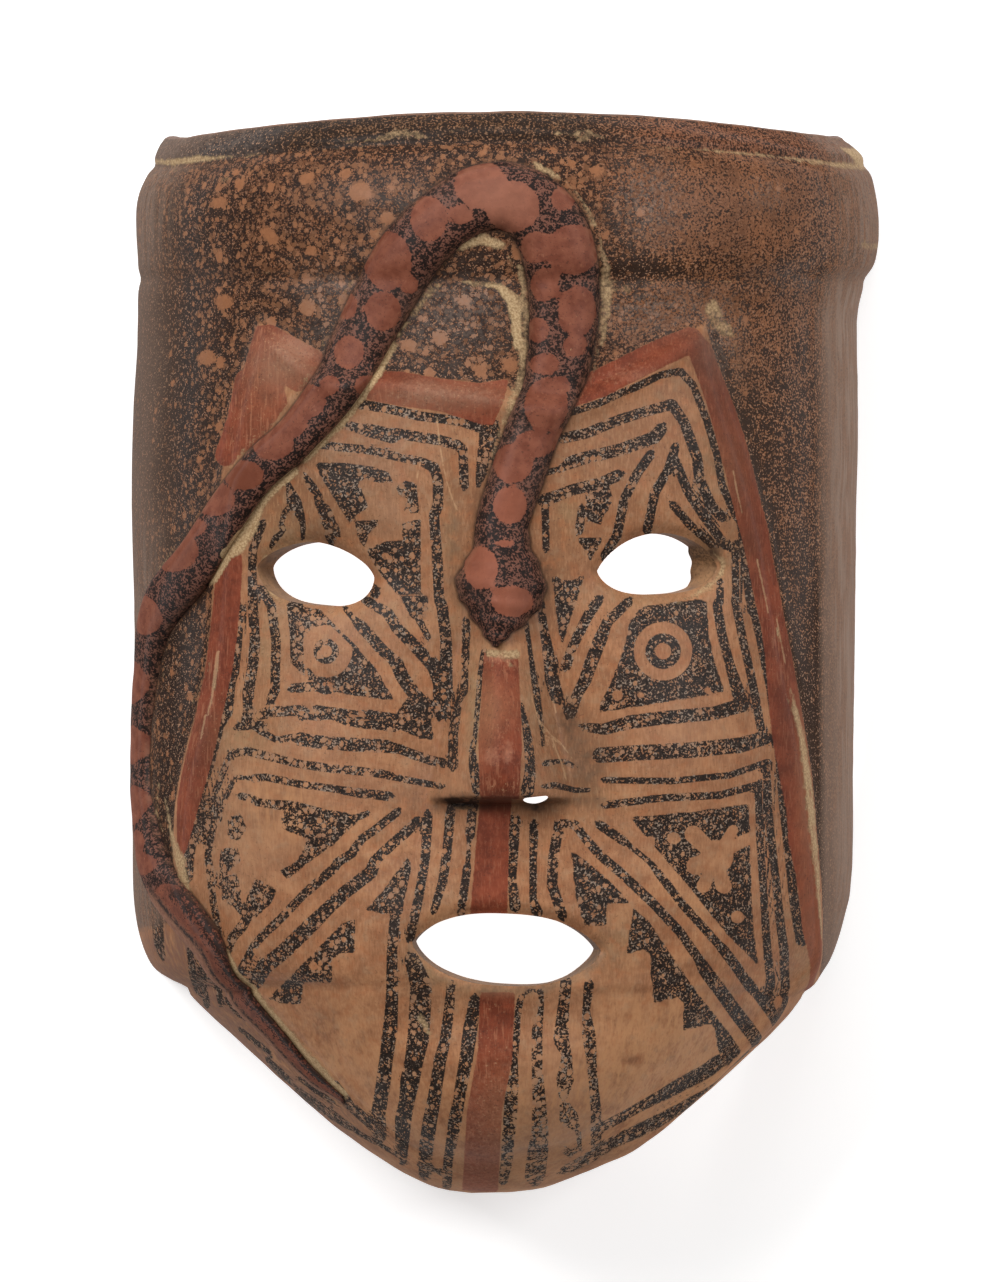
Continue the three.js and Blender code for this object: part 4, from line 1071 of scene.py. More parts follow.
# distance to the seam between the body and the shell, in steps
seam = np.flatnonzero(is_snake & np.isin(np.arange(nv), lv[kind[loop_poly] == OUTER]))
tree = KDTree(len(seam))
for i in seam:
    tree.insert(co[i], int(i))
tree.balance()
gap = np.full(nv, 12.0)
for i in np.flatnonzero(np.abs(foot) < 14):
    gap[i] = min(12.0, tree.find(co[i])[2] * 1000 / UNIT)

deposit = np.zeros(nv)
for points, strong in DEPOSITS:
    d = Strokes(U, V, 10)
    d.add(points)
    deposit = np.maximum(deposit, strong * smooth(-5, 3, d.margin))
# earth held in the corner beside the body, more in some places than in others
corner = np.zeros(nv)
for points, strong in CORNERS:
    d = Strokes(U, V, 16)
    d.add(points)
    corner = np.maximum(corner, strong * smooth(-10, 6, d.margin))
deposit = np.maximum(deposit, corner * smooth(11, 5, foot) * smooth(-5, 0, foot))
deposit *= smooth(8, 26, co[:, 2] * 1000)


def blob(u, v, ru, rv):
    return np.exp(-((U - u) / ru) ** 2 - ((V - v) / rv) ** 2)


normal = np.empty(nv * 3, np.float32)
me.vertex_normals.foreach_get("vector", normal)
steep = smooth(0.80, 0.25, normal[2::3])
right = smooth(560, 680, U)
lip = smooth(117.2, 118.6, H)
trough = (1 - is_snake) * smooth(-70, -50, panel) * smooth(262, 246, U) * smooth(560, 610, V) * smooth(905, 880, V)
# only on the panel's side of the snake
tail_line = np.array([(p[0], p[1]) for p in line[80:]])
tail_line = tail_line[np.argsort(tail_line[:, 1])]
trough *= smooth(0, 3, S - np.interp(H, tail_line[:, 1], tail_line[:, 0]))
# painted sheen: grey glancing light on the steep walls, kept out of the trough, and beyond u 810 on the right
side_sheen = steep * (1 - 0.95 * trough) * (1 - right) + right * np.clip((U - 810 + 12 * smooth(610, 500, V)) / (20 + 22 * smooth(610, 500, V)), 0, 1)
# the plain side walls, towards the back edge
wall = smooth(50, 20, co[:, 2] * 1000)
# how dark the bare shell is, partly painted shade below the band's lower edge and outside the panel's raised edge; how
# worn the painted panel is; and its general tone
dark = (0.75 * blob(790, 400, 55, 95) + 0.8 * blob(440, 374, 70, 9) + 0.4 * blob(215, 215, 40, 50) + 0.45 * blob(805, 215, 32, 50) + 0.9 * blob(178, 660, 20, 120) + 0.9 * blob(485, 262, 38, 26) + 0.7 * blob(450, 325, 62, 42) + 0.9 * blob(814, 640, 20, 170) + 0.7 * blob(815, 860, 12, 110) + 1.3 * blob(180, 740, 20, 110)
        + 1.0 * lip * smooth(290, 250, U) + 0.25 * lip + 1.3 * blob(650, 270, 52, 13) + 0.6 * blob(790, 268, 50, 20) + 0.8 * blob(150, 420, 50, 150) + 0.6 * blob(190, 350, 60, 110) + 0.5 * blob(300, 350, 60, 70)
        + 0.45 * blob(620, 250, 22, 60) + 0.25 * blob(520, 150, 200, 16) + 1.15 * np.exp(-((panel + 10) / 8) ** 2) * (V > 330) * (U > 600) + 0.5 * np.exp(-((panel + 34) / 22) ** 2) * (V > 400) * (U > 600)
        + 0.5 * np.exp(-((panel + 14) / 12) ** 2) * (V > 560) * (U < 300) - 0.25 * blob(760, 200, 90, 60) - 0.3 * blob(850, 600, 14, 330))
worn = (0.9 * blob(390, 515, 26, 26) + 0.6 * blob(300, 640, 45, 50) + 0.7 * blob(255, 850, 55, 55) + 0.5 * blob(300, 760, 70, 50)
        + 0.6 * blob(700, 735, 30, 26) + 0.3 * blob(420, 990, 30, 60) + 0.45 * blob(640, 740, 60, 30) + 0.3 * blob(690, 850, 60, 50)
        + 0.4 * blob(400, 440, 60, 40) + 0.35 * blob(600, 450, 50, 50) + 0.35 * blob(420, 780, 40, 25) + 0.85 * blob(560, 1090, 44, 90) - 0.5 * blob(408, 1100, 40, 90) + 0.35 * smooth(1060, 1150, V))
# pale: lighter slip and dust, with painted highlights on the cheeks, the nose tip and the chin, and painted shade where
# it is negative on the nose's right flank
pale = (0.6 * smooth(1010, 1120, V) + 0.3 * blob(630, 380, 46, 12) + 0.7 * is_snake * blob(500, 200, 44, 30) + 0.9 * blob(285, 805, 45, 35) + 0.75 * blob(425, 390, 40, 14) + 0.45 * blob(480, 396, 26, 10) + 0.35 * blob(640, 372, 50, 14) + 1.1 * blob(298, 346, 24, 16) + 0.6 * blob(335, 1040, 60, 60) + 1.0 * blob(660, 1040, 90, 70) + 0.5 * blob(350, 860, 60, 40)
        + 0.5 * blob(690, 880, 60, 70) + 1.2 * blob(500, 650, 20, 12) - 0.8 * blob(330, 480, 90, 60) - 0.5 * blob(600, 450, 60, 60)
        - 0.3 * blob(455, 470, 16, 140) - 0.5 * blob(560, 560, 25, 70) - 0.85 * blob(584, 765, 24, 42) - 0.55 * blob(548, 735, 22, 60) + 0.8 * blob(490, 755, 8, 10) + 0.8 * blob(508, 752, 7, 14) + 0.5 * blob(700, 740, 50, 30))
khaki = (0.9 * blob(801, 780, 9, 80) + 1.0 * is_snake * blob(242, 478, 26, 20) + 0.5 * is_snake * blob(183, 550, 24, 24) + 0.35 * is_snake * blob(389, 262, 24, 30) + 0.35 * blob(435, 398, 80, 16) + 0.5 * blob(500, 705, 22, 26) + 0.7 * blob(488, 715, 9, 42) + 0.9 * blob(474, 730, 7, 50) + 0.5 * blob(532, 700, 8, 40) + 0.5 * blob(500, 1120, 20, 60) + 0.4 * blob(275, 370, 20, 14) + 0.35 * blob(265, 400, 30, 60) + 0.4 * blob(300, 372, 18, 16) + 0.9 * blob(245, 735, 30, 26) + 0.8 * blob(285, 545, 30, 30) + 0.7 * blob(285, 600, 18, 40) + 0.8 * blob(268, 650, 12, 40) + 0.55 * blob(472, 680, 8, 40)
         + 0.75 * blob(450, 535, 9, 34) + 0.3 * blob(400, 620, 60, 20) + 0.8 * blob(700, 560, 40, 26) + 0.6 * blob(640, 600, 50, 12) + 0.5 * blob(720, 470, 30, 50)
         + 0.8 * blob(567, 512, 12, 14) + 0.3 * blob(440, 900, 20, 50) + 0.3 * blob(600, 800, 40, 20) + 0.7 * blob(620, 940, 18, 30) + 0.6 * blob(418, 960, 20, 30)
         + 0.5 * blob(800, 940, 14, 60) + 0.3 * blob(230, 830, 30, 60))
# mostly painted shade: under the nose and nostrils, on its right flank, in the corners of the openings, in the crease
# beside the body, below the band's lower edge and on the steep chin; in places soil rubbed in
shade_and_soil = (0.42 * blob(453, 545, 9, 42) + 0.30 * blob(474, 498, 8, 22) + 0.25 * blob(476, 640, 9, 18) + 0.35 * blob(548, 575, 10, 40) + 0.55 * blob(588, 762, 20, 28)
         + 0.75 * blob(568, 722, 13, 20) + 0.4 * blob(500, 794, 24, 6) + 0.9 * blob(538, 808, 12, 6) + 0.35 * blob(462, 800, 20, 4) + 0.45 * blob(466, 806, 26, 7)
         + smooth(795.8, 797.5, V) * (0.15 * smooth(804, 799, V) * smooth(440, 450, U) * smooth(488, 478, U)
                                      + 0.40 * smooth(816, 802, V) * smooth(425, 450, U) * smooth(620, 585, U)) + 0.4 * blob(430, 800, 40, 14) + 0.15 * blob(262, 575, 16, 30)
         + 0.9 * blob(711, 553, 12, 15) + 0.3 * blob(320, 530, 60, 14) + 0.25 * np.exp(-((gap - 1) / 4) ** 2)
         + 0.35 * blob(410, 945, 14, 30) + 0.35 * blob(600, 945, 14, 30) + 0.25 * blob(505, 990, 90, 10) + 0.34 * blob(690, 375, 60, 50) + 0.2 * blob(750, 560, 20, 120)
         + 0.30 * blob(728, 430, 26, 95) + 0.18 * blob(750, 520, 16, 60) + 0.35 * blob(208, 760, 16, 60) + 0.38 * blob(784, 720, 13, 100)
         + 0.22 * np.exp(-((V - 271) / 4) ** 2) * smooth(345, 330, U) * (1 - is_snake) + 0.07 * steep * smooth(900, 1050, V))
# grey soil rubbed into the edge of the lower lip
below = V - 949 - 39 * np.clip(1 - np.abs((U - 506) / 95) ** 2.5, 0, 1) ** 0.7
lip_soil = np.exp(-((below - 3) / 6) ** 2) * (np.abs(U - 506) < 98)
khaki = khaki + 0.75 * lip_soil
shade_and_soil = shade_and_soil + 0.30 * lip_soil
# the painted slip goes on down the side of the jaw, below the left edge of the panel
jaw_side = (1 - is_snake) * smooth(-2, -5, panel) * smooth(905, 945, V + 0.25 * (U - 160)) * np.maximum(smooth(420, 380, U), smooth(1000, 1040, V))
# greyish film on the shell, partly a painted sheen right of the snake's loop, and soot above the groove at the left end
# of the lip
film_and_sheen = (0.55 * is_snake * blob(528, 430, 46, 70) + 0.5 * is_snake * blob(455, 590, 10, 12) + 0.7 * (1 - is_snake) * blob(640, 200, 32, 44) + 0.5 * blob(432, 398, 80, 14) + 0.6 * blob(282, 360, 30, 28) + 0.8 * blob(452, 322, 56, 44) + 0.7 * blob(755, 186, 18, 18) + 0.6 * blob(470, 300, 60, 18) + 0.7 * blob(330, 285, 40, 20)
        + 0.7 * blob(640, 308, 60, 22) + 0.5 * blob(420, 200, 50, 20) + 0.5 * blob(820, 275, 60, 14) + 0.8 * lip * smooth(300, 240, U)
        + 0.5 * blob(720, 340, 24, 40) + 0.4 * blob(330, 330, 26, 40))
scratched = (0.6 * blob(272, 350, 40, 40) + 0.6 * blob(250, 420, 30, 40) + 0.5 * blob(440, 395, 60, 14) + 0.15 * blob(640, 372, 60, 24)
             + 0.25 * blob(500, 720, 22, 70) + 0.5 * blob(490, 1090, 26, 90) + 0.5 * blob(205, 720, 24, 90) + 0.4 * blob(780, 640, 24, 60)
             + 0.9 * blob(500, 655, 22, 12) + 0.9 * blob(500, 786, 22, 7))


def give(name, values):
    at = me.attributes.new(name, "FLOAT", "POINT")
    at.data.foreach_set("value", np.asarray(values, np.float32))


for name, values in (("line_margin", black.margin), ("line_offset", black.offset), ("line_half", black.half), ("area", area),
                     ("red", red), ("panel", np.clip(panel, -60, 60)), ("spots", spots), ("deposit", deposit), ("fleck", fleck),
                     ("dark", dark), ("worn", worn), ("pale", pale), ("shade_and_soil", shade_and_soil), ("side", side), ("right", right),
                     ("scratched", scratched), ("body_side", across_body), ("foot", np.clip(foot, -40, 40)),
                     ("lip", lip), ("film_and_sheen", film_and_sheen), ("side_sheen", side_sheen), ("trough", trough), ("wall", wall), ("steep", steep), ("khaki", khaki), ("scar_margin", scars.margin), ("scar_offset", scars.offset),
                     ("scar_half", scars.half), ("band", smooth(80, 90, H) * smooth(600, 760, U)), ("gap", gap), ("jaw", jaw_side), ("jaw_tint", jaw_side * smooth(420, 320, U)), ("head", smooth(0.115, 0.085, along_body / SNAKE_LENGTH) * is_snake),
                     ("tail", smooth(878, 896, V + 0.3 * (U - 180)) * is_snake)):
    give(name, values)

# ------------------------------------------------------------------ materials

def rgb(r, g, b):
    def one(c):
        c /= 255
        return c / 12.92 if c <= 0.04045 else ((c + 0.055) / 1.055) ** 2.4
    return (one(r), one(g), one(b), 1.0)


class Graph:
    """short hand for a node tree: values are sockets or numbers"""

    def __init__(self, material):
        material.use_nodes = True
        self.t = material.node_tree
        self.t.nodes.clear()
        tc = self.t.nodes.new("ShaderNodeTexCoord")
        self.co = self.vec("MULTIPLY", tc.outputs["Object"], (1000, 1000, 1000))

    def link(self, socket, value):
        if isinstance(value, bpy.types.NodeSocket):
            self.t.links.new(value, socket)
        else:
            socket.default_value = value

    def vec(self, op, a, b):
        n = self.t.nodes.new("ShaderNodeVectorMath")
        n.operation = op
        self.link(n.inputs[0], a)
        self.link(n.inputs[1], b)
        return n.outputs[0]

    def m(self, op, a, b=0.0, c=0.0, clamp=False):
        n = self.t.nodes.new("ShaderNodeMath")
        n.operation, n.use_clamp = op, clamp
        for s, v in zip(n.inputs, (a, b, c)):
            self.link(s, v)
        return n.outputs[0]

    def add(self, a, b): return self.m("ADD", a, b)
    def sub(self, a, b): return self.m("SUBTRACT", a, b)
    def mul(self, a, b): return self.m("MULTIPLY", a, b)
    def lo(self, a, b): return self.m("MINIMUM", a, b)
    def hi(self, a, b): return self.m("MAXIMUM", a, b)
    def unit(self, a): return self.m("ADD", a, 0.0, clamp=True)
    def fma(self, a, b, c): return self.m("MULTIPLY_ADD", a, b, c)

    def step(self, v, a, b):
        """0 at a, 1 at b"""
        n = self.t.nodes.new("ShaderNodeMapRange")
        n.clamp = True
        self.link(n.inputs["Value"], v)
        n.inputs["From Min"].default_value, n.inputs["From Max"].default_value = a, b
        return n.outputs["Result"]

    def attr(self, name):
        n = self.t.nodes.new("ShaderNodeAttribute")
        n.attribute_name = name
        return n.outputs["Fac"]

    def noise(self, scale, detail=2.0, rough=0.5, stretch=None, shift=(0, 0, 0)):
        v = self.co
        if stretch:
            v = self.vec("MULTIPLY", v, stretch)
        if any(shift):
            v = self.vec("ADD", v, shift)
        n = self.t.nodes.new("ShaderNodeTexNoise")
        self.link(n.inputs["Vector"], v)
        n.inputs["Scale"].default_value = scale
        n.inputs["Detail"].default_value = detail
        n.inputs["Roughness"].default_value = rough
        return n.outputs["Fac"]

    def cells(self, scale, shift=(0, 0, 0)):
        """distance to the nearest of scattered points, and two random numbers for it"""
        n = self.t.nodes.new("ShaderNodeTexVoronoi")
        self.link(n.inputs["Vector"], self.vec("ADD", self.co, shift))
        n.inputs["Scale"].default_value = scale
        split = self.t.nodes.new("ShaderNodeSeparateXYZ")
        self.t.links.new(n.outputs["Color"], split.inputs[0])
        return n.outputs["Distance"], split.outputs[0], split.outputs[1]

    def mixc(self, f, a, b):
        n = self.t.nodes.new("ShaderNodeMix")
        n.data_type = "RGBA"
        self.link(n.inputs["Factor"], f)
        self.link([s for s in n.inputs if s.name == "A" and s.type == "RGBA"][0], a)
        self.link([s for s in n.inputs if s.name == "B" and s.type == "RGBA"][0], b)
        return [s for s in n.outputs if s.type == "RGBA"][0]

    def finish(self, colour, rough, height, strength=0.5, distance=0.0004):
        bump = self.t.nodes.new("ShaderNodeBump")
        bump.inputs["Strength"].default_value = strength
        bump.inputs["Distance"].default_value = distance
        self.link(bump.inputs["Height"], height)
        p = self.t.nodes.new("ShaderNodeBsdfPrincipled")
        self.link(p.inputs["Base Color"], colour)
        self.link(p.inputs["Roughness"], rough)
        p.inputs["IOR"].default_value = 1.45
        p.inputs["Specular IOR Level"].default_value = 0.15
        self.t.links.new(bump.outputs["Normal"], p.inputs["Normal"])
        out = self.t.nodes.new("ShaderNodeOutputMaterial")
        self.t.links.new(p.outputs[0], out.inputs[0])


TAN, TAN_DARK, TAN_PALE = rgb(155, 107, 75), rgb(136, 92, 64), rgb(182, 132, 93)
BLACKISH, BLACK_SOFT, CHIP = rgb(30, 23, 19), rgb(48, 37, 31), rgb(136, 116, 100)
RED_SLIP, RED_DARK, RED_PALE = rgb(124, 60, 39), rgb(99, 46, 30), rgb(160, 104, 76)
BROWN_DARK, ORANGE = rgb(28, 19, 14), rgb(140, 92, 61)
CREAM, CREAM_DARK = rgb(190, 163, 124), rgb(150, 122, 88)


def face_slip():
    g = Graph(slots[OUTER])
    grain = g.noise(1.95, 2, 0.62)
    clump = g.noise(0.85, 3.5, 0.72, shift=(31, 7, 3))
    mid = g.noise(0.36, 2, 0.6, shift=(5, 11, 2))
    brush = g.noise(0.16, 4, 0.62, stretch=(0.8, 1.0, 0.8), shift=(12, 8, 1))
    streak = g.noise(0.75, 2, 0.6, stretch=(1, 0.08, 1), shift=(2, 3, 4))
    worn, pale, side, right = g.attr("worn"), g.attr("pale"), g.attr("side"), g.attr("right")
    wobble = g.add(g.mul(g.sub(clump, 0.5), 6.0), g.mul(g.sub(grain, 0.5), 4.0))

    # tan slip of the panel
    tan = g.mixc(g.step(g.add(brush, g.mul(g.sub(mid, 0.5), 0.35)), 0.32, 0.62), TAN_DARK, TAN)
    # lighter where pale is high (partly painted highlights), darker where it is negative (painted shade)
    tan = g.mixc(g.unit(g.mul(g.step(g.add(brush, g.mul(pale, 0.16)), 0.50, 0.72), g.fma(pale, 0.5, 0.35))), tan, TAN_PALE)
    tan = g.mixc(g.unit(g.mul(g.step(pale, 0.1, -0.9), 0.75)), tan, rgb(110, 78, 54))
    tan = g.mixc(g.unit(g.mul(g.attr("khaki"), g.fma(clump, 1.2, -0.15))), tan, rgb(138, 116, 84))
    hair = g.noise(2.1, 2, 0.6, stretch=(1.0, 0.22, 1.0), shift=(7, 2, 9))
    tan = g.mixc(g.unit(g.mul(g.sub(hair, 0.50), 1.5)), tan, rgb(184, 138, 102))
    tan = g.mixc(g.unit(g.mul(g.sub(0.50, hair), 1.5)), tan, rgb(112, 74, 52))
    tan = g.mixc(g.mul(g.step(mid, 0.55, 0.68), 0.26), tan, rgb(146, 122, 96))
    tan = g.mixc(g.mul(g.step(mid, 0.45, 0.33), 0.30), tan, rgb(160, 98, 62))
    # a painted sheen on the tan where the panel is worn
    tan = g.mixc(g.unit(g.mul(worn, 0.35)), tan, rgb(158, 122, 96))
    tan = g.mixc(g.mul(g.step(streak, 0.48, 0.62), g.step(pale, 0.3, 1.0)), tan, rgb(176, 128, 90))
    tan = g.mixc(g.mul(g.step(grain, 0.37, 0.31), g.fma(g.step(pale, 0.1, 0.5), -0.4, 0.5)), tan, rgb(84, 58, 44))

    tan = g.mixc(g.mul(g.attr("jaw_tint"), g.step(streak, 0.36, 0.60)), tan, rgb(122, 84, 68))
    tan = g.mixc(g.mul(g.attr("jaw_tint"), g.fma(clump, 0.8, -0.2)), tan, rgb(120, 98, 80))

    # black paint with ragged edges, chipped where it has worn
    line = g.lo(g.sub(g.attr("line_half"), g.m("ABSOLUTE", g.attr("line_offset"))), g.add(g.attr("line_margin"), 1.6))
    margin = g.add(g.hi(line, g.attr("area")), 0.9)
    black = g.step(g.add(margin, g.mul(wobble, 0.34)), -0.35, 0.45)
    level = g.add(g.fma(worn, -0.060, 0.578), g.mul(g.sub(mid, 0.5), -0.20))
    kept = g.step(g.sub(level, grain), -0.012, 0.010)
    ink = g.mixc(g.step(clump, 0.40, 0.62), BLACKISH, BLACK_SOFT)
    rag = g.add(g.mul(g.sub(grain, 0.5), 1.3), g.mul(g.sub(clump, 0.5), 1.5))
    d1, r1, t1 = g.cells(0.74, (3, 1, 7))
    size = g.add(g.fma(r1, 0.66, g.fma(worn, 0.22, -0.14)), g.fma(right, -0.18, g.mul(g.sub(mid, 0.5), 0.5)))
    gone = g.step(g.sub(size, g.add(d1, g.mul(rag, 0.55))), -0.03, 0.03)
    chip = g.mixc(g.mul(g.step(t1, 0.4, 0.9), 0.35), tan, CHIP)
    col = g.mixc(black, tan, g.mixc(gone, g.mixc(kept, g.mixc(g.step(t1, 0.8, 0.2), tan, CHIP), ink), chip))

    # red slip
    red = g.step(g.add(g.attr("red"), g.mul(wobble, 0.45)), -0.5, 0.5)
    redc = g.mixc(g.step(g.add(brush, g.mul(g.sub(mid, 0.5), 0.6)), 0.36, 0.64), RED_DARK, RED_SLIP)
    scratch = g.noise(1.1, 2, 0.6, stretch=(1.5, 0.12, 1), shift=(3, 9, 5))
    scratched = g.attr("scratched")
    redc = g.mixc(g.mul(g.step(g.add(scratch, g.mul(scratched, 0.10)), 0.60, 0.68), g.fma(scratched, 0.45, 0.28)), redc, RED_PALE)
    # pink where pale is high: worn slip, and a painted highlight on the nose tip
    redc = g.mixc(g.mul(g.step(g.add(pale, g.mul(g.sub(clump, 0.5), 1.2)), 0.25, 0.9), 0.6), redc, rgb(164, 112, 88))
    redc = g.mixc(g.unit(g.mul(g.attr("khaki"), 0.7)), redc, rgb(138, 92, 64))
    redc = g.mixc(g.unit(g.mul(g.attr("film_and_sheen"), g.fma(clump, 1.2, 0.1))), redc, rgb(132, 108, 90))
    redc = g.mixc(g.mul(g.step(grain, 0.385, 0.345), 0.45), redc, rgb(62, 42, 34))
    redc = g.mixc(g.mul(g.sub(hair, 0.5), 0.9), redc, rgb(176, 108, 78))
    redc = g.mixc(g.mul(g.mul(g.step(grain, 0.60, 0.64), g.step(clump, 0.50, 0.60)), g.unit(g.fma(scratched, 0.8, 0.1))), redc, rgb(176, 140, 104))
    col = g.mixc(red, col, redc)

    scar = g.lo(g.sub(g.attr("scar_half"), g.m("ABSOLUTE", g.attr("scar_offset"))), g.add(g.attr("scar_margin"), 1.0))
    scar = g.step(g.add(scar, g.mul(g.sub(clump, 0.5), 3.2)), -0.35, 0.45)
    col = g.mixc(g.mul(scar, 0.48), col, rgb(186, 150, 112))

    # bare shell outside the panel: brown slip with soft patches, peppered with black, and
    # ragged flakes of every size on the left half
    flank = g.step(side, 0.80, 0.97)
    lip = g.attr("lip")
    brown = g.mixc(g.step(g.add(brush, g.mul(g.sub(mid, 0.5), 0.6)), 0.38, 0.62), rgb(84, 53, 35), rgb(114, 72, 46))
    brown = g.mixc(g.mul(right, 0.30), brown, rgb(128, 84, 56))
    brown = g.mixc(g.mul(lip, 0.5), brown, g.mixc(right, rgb(92, 70, 48), rgb(104, 60, 42)))
    thick = g.add(g.fma(g.attr("dark"), 0.105, 0.532), g.add(g.mul(g.sub(mid, 0.5), 0.30), g.mul(g.sub(clump, 0.5), 0.35)))
    thick = g.add(thick, g.fma(right, -0.066, g.mul(g.mul(g.sub(streak, 0.5), flank), 0.35)))
    pepper = g.step(g.sub(thick, grain), -0.02, 0.03)
    soot = g.mixc(g.unit(g.mul(g.attr("film_and_sheen"), 0.8)), BROWN_DARK, rgb(46, 43, 43))
    shell = g.mixc(g.mul(pepper, 0.93), g.mixc(g.unit(g.mul(g.mul(right, 0.45), g.attr("dark"))), brown, rgb(150, 102, 70)), soot)
    shell = g.mixc(g.mul(g.step(grain, 0.60, 0.65), g.fma(g.attr("dark"), 0.38, 0.35)), shell, rgb(162, 124, 98))
    fewer = g.add(g.add(g.mul(g.attr("dark"), 0.12), g.mul(right, 0.34)), g.add(g.mul(flank, 0.30), g.mul(lip, 0.5)))
    fewer = g.mul(fewer, g.fma(g.attr("trough"), -0.45, 1.0))
    small = g.step(g.sub(g.sub(g.fma(r1, 0.64, 0.02), fewer), g.add(d1, rag)), -0.02, 0.03)
    shell = g.mixc(g.mul(small, 0.85), shell, g.mixc(t1, rgb(100, 66, 44), g.mixc(g.unit(g.attr("film_and_sheen")), rgb(144, 97, 66), rgb(152, 118, 99))))
    d2, r2, t2 = g.cells(0.25, (9, 4, 2))
    large = g.step(g.sub(g.sub(g.fma(r2, 0.80, -0.37), g.mul(fewer, 0.6)), g.add(d2, g.mul(rag, 0.40))), -0.012, 0.016)
    large = g.hi(large, g.step(g.add(g.attr("fleck"), g.mul(wobble, 2.4)), -0.8, 0.8))
    shell = g.mixc(g.mul(large, 0.85), shell, g.mixc(g.unit(g.attr("film_and_sheen")), ORANGE, rgb(150, 112, 90)))
    # painted sheen: grey glancing light on the steep sides of the shell, and streaks of it along the walls
    upper = g.attr("band")
    edge = g.add(g.mul(g.step(g.attr("side_sheen"), 0.35, 1.0), g.sub(1.0, right)), g.mul(g.step(g.add(g.attr("side_sheen"), g.mul(wobble, 0.02)), 0.36, 0.74), right))
    shell = g.mixc(g.mul(g.mul(edge, g.fma(upper, -0.5, 1.0)), g.fma(right, 0.22, 0.38)), shell, rgb(132, 108, 93))
    sheen_streaks = g.hi(g.mul(g.mul(g.step(side, 0.84, 0.97), g.step(g.attr("dark"), 0.8, 0.2)), g.step(streak, 0.42, 0.58)), g.mul(g.fma(right, 0.1, 0.9), g.unit(g.mul(g.attr("film_and_sheen"), g.step(clump, 0.44, 0.60)))))
    sheen_streaks = g.mul(sheen_streaks, g.fma(g.attr("wall"), -0.55, 1.0))
    shell = g.mixc(g.mul(sheen_streaks, g.fma(upper, -0.26, g.fma(right, 0.34, 0.30))), shell, rgb(142, 121, 107))
    inside = g.step(g.add(g.attr("panel"), g.mul(wobble, 0.7)), -4.5, -2.5)
    jaw = g.step(g.add(g.attr("jaw"), g.mul(wobble, 0.10)), 0.35, 0.65)
    inside = g.hi(inside, jaw)
    col = g.mixc(g.hi(inside, red), shell, col)

    # painted shade in the hollows and in the crease beside the body, with soil rubbed in here and there; pale earth
    # left in the corners
    crease_shade = g.step(g.add(g.attr("gap"), g.mul(wobble, 0.22)), 2.4, 0.7)
    col = g.mixc(g.mul(crease_shade, 0.62), col, rgb(62, 44, 33))
    col = g.mixc(g.unit(g.mul(g.attr("shade_and_soil"), g.step(mid, 0.2, 0.62))), col, rgb(58, 42, 32))
    dep = g.step(g.sub(g.attr("deposit"), g.add(g.mul(clump, 0.55), g.fma(mid, 0.50, g.mul(grain, 0.20)))), -0.10, 0.10)
    cream = g.mixc(g.step(grain, 0.38, 0.62), CREAM_DARK, CREAM)
    cream = g.mixc(g.step(g.attr("deposit"), 0.86, 0.55), cream, g.mixc(g.step(grain, 0.42, 0.58), rgb(112, 90, 66), rgb(158, 132, 98)))
    col = g.mixc(g.mul(dep, 0.88), col, cream)

    height = g.add(g.mul(mid, 0.8), g.add(g.mul(grain, 0.16), g.mul(g.attr("deposit"), 0.25)))
    rough = g.add(g.fma(mid, 0.20, 0.34), g.hi(g.mul(dep, 0.35), g.mul(red, 0.15)))
    rough = g.hi(rough, g.mul(g.step(g.attr("steep"), 0.0, 0.6), 0.9))
    g.finish(col, rough, height, 0.5, 0.0004)


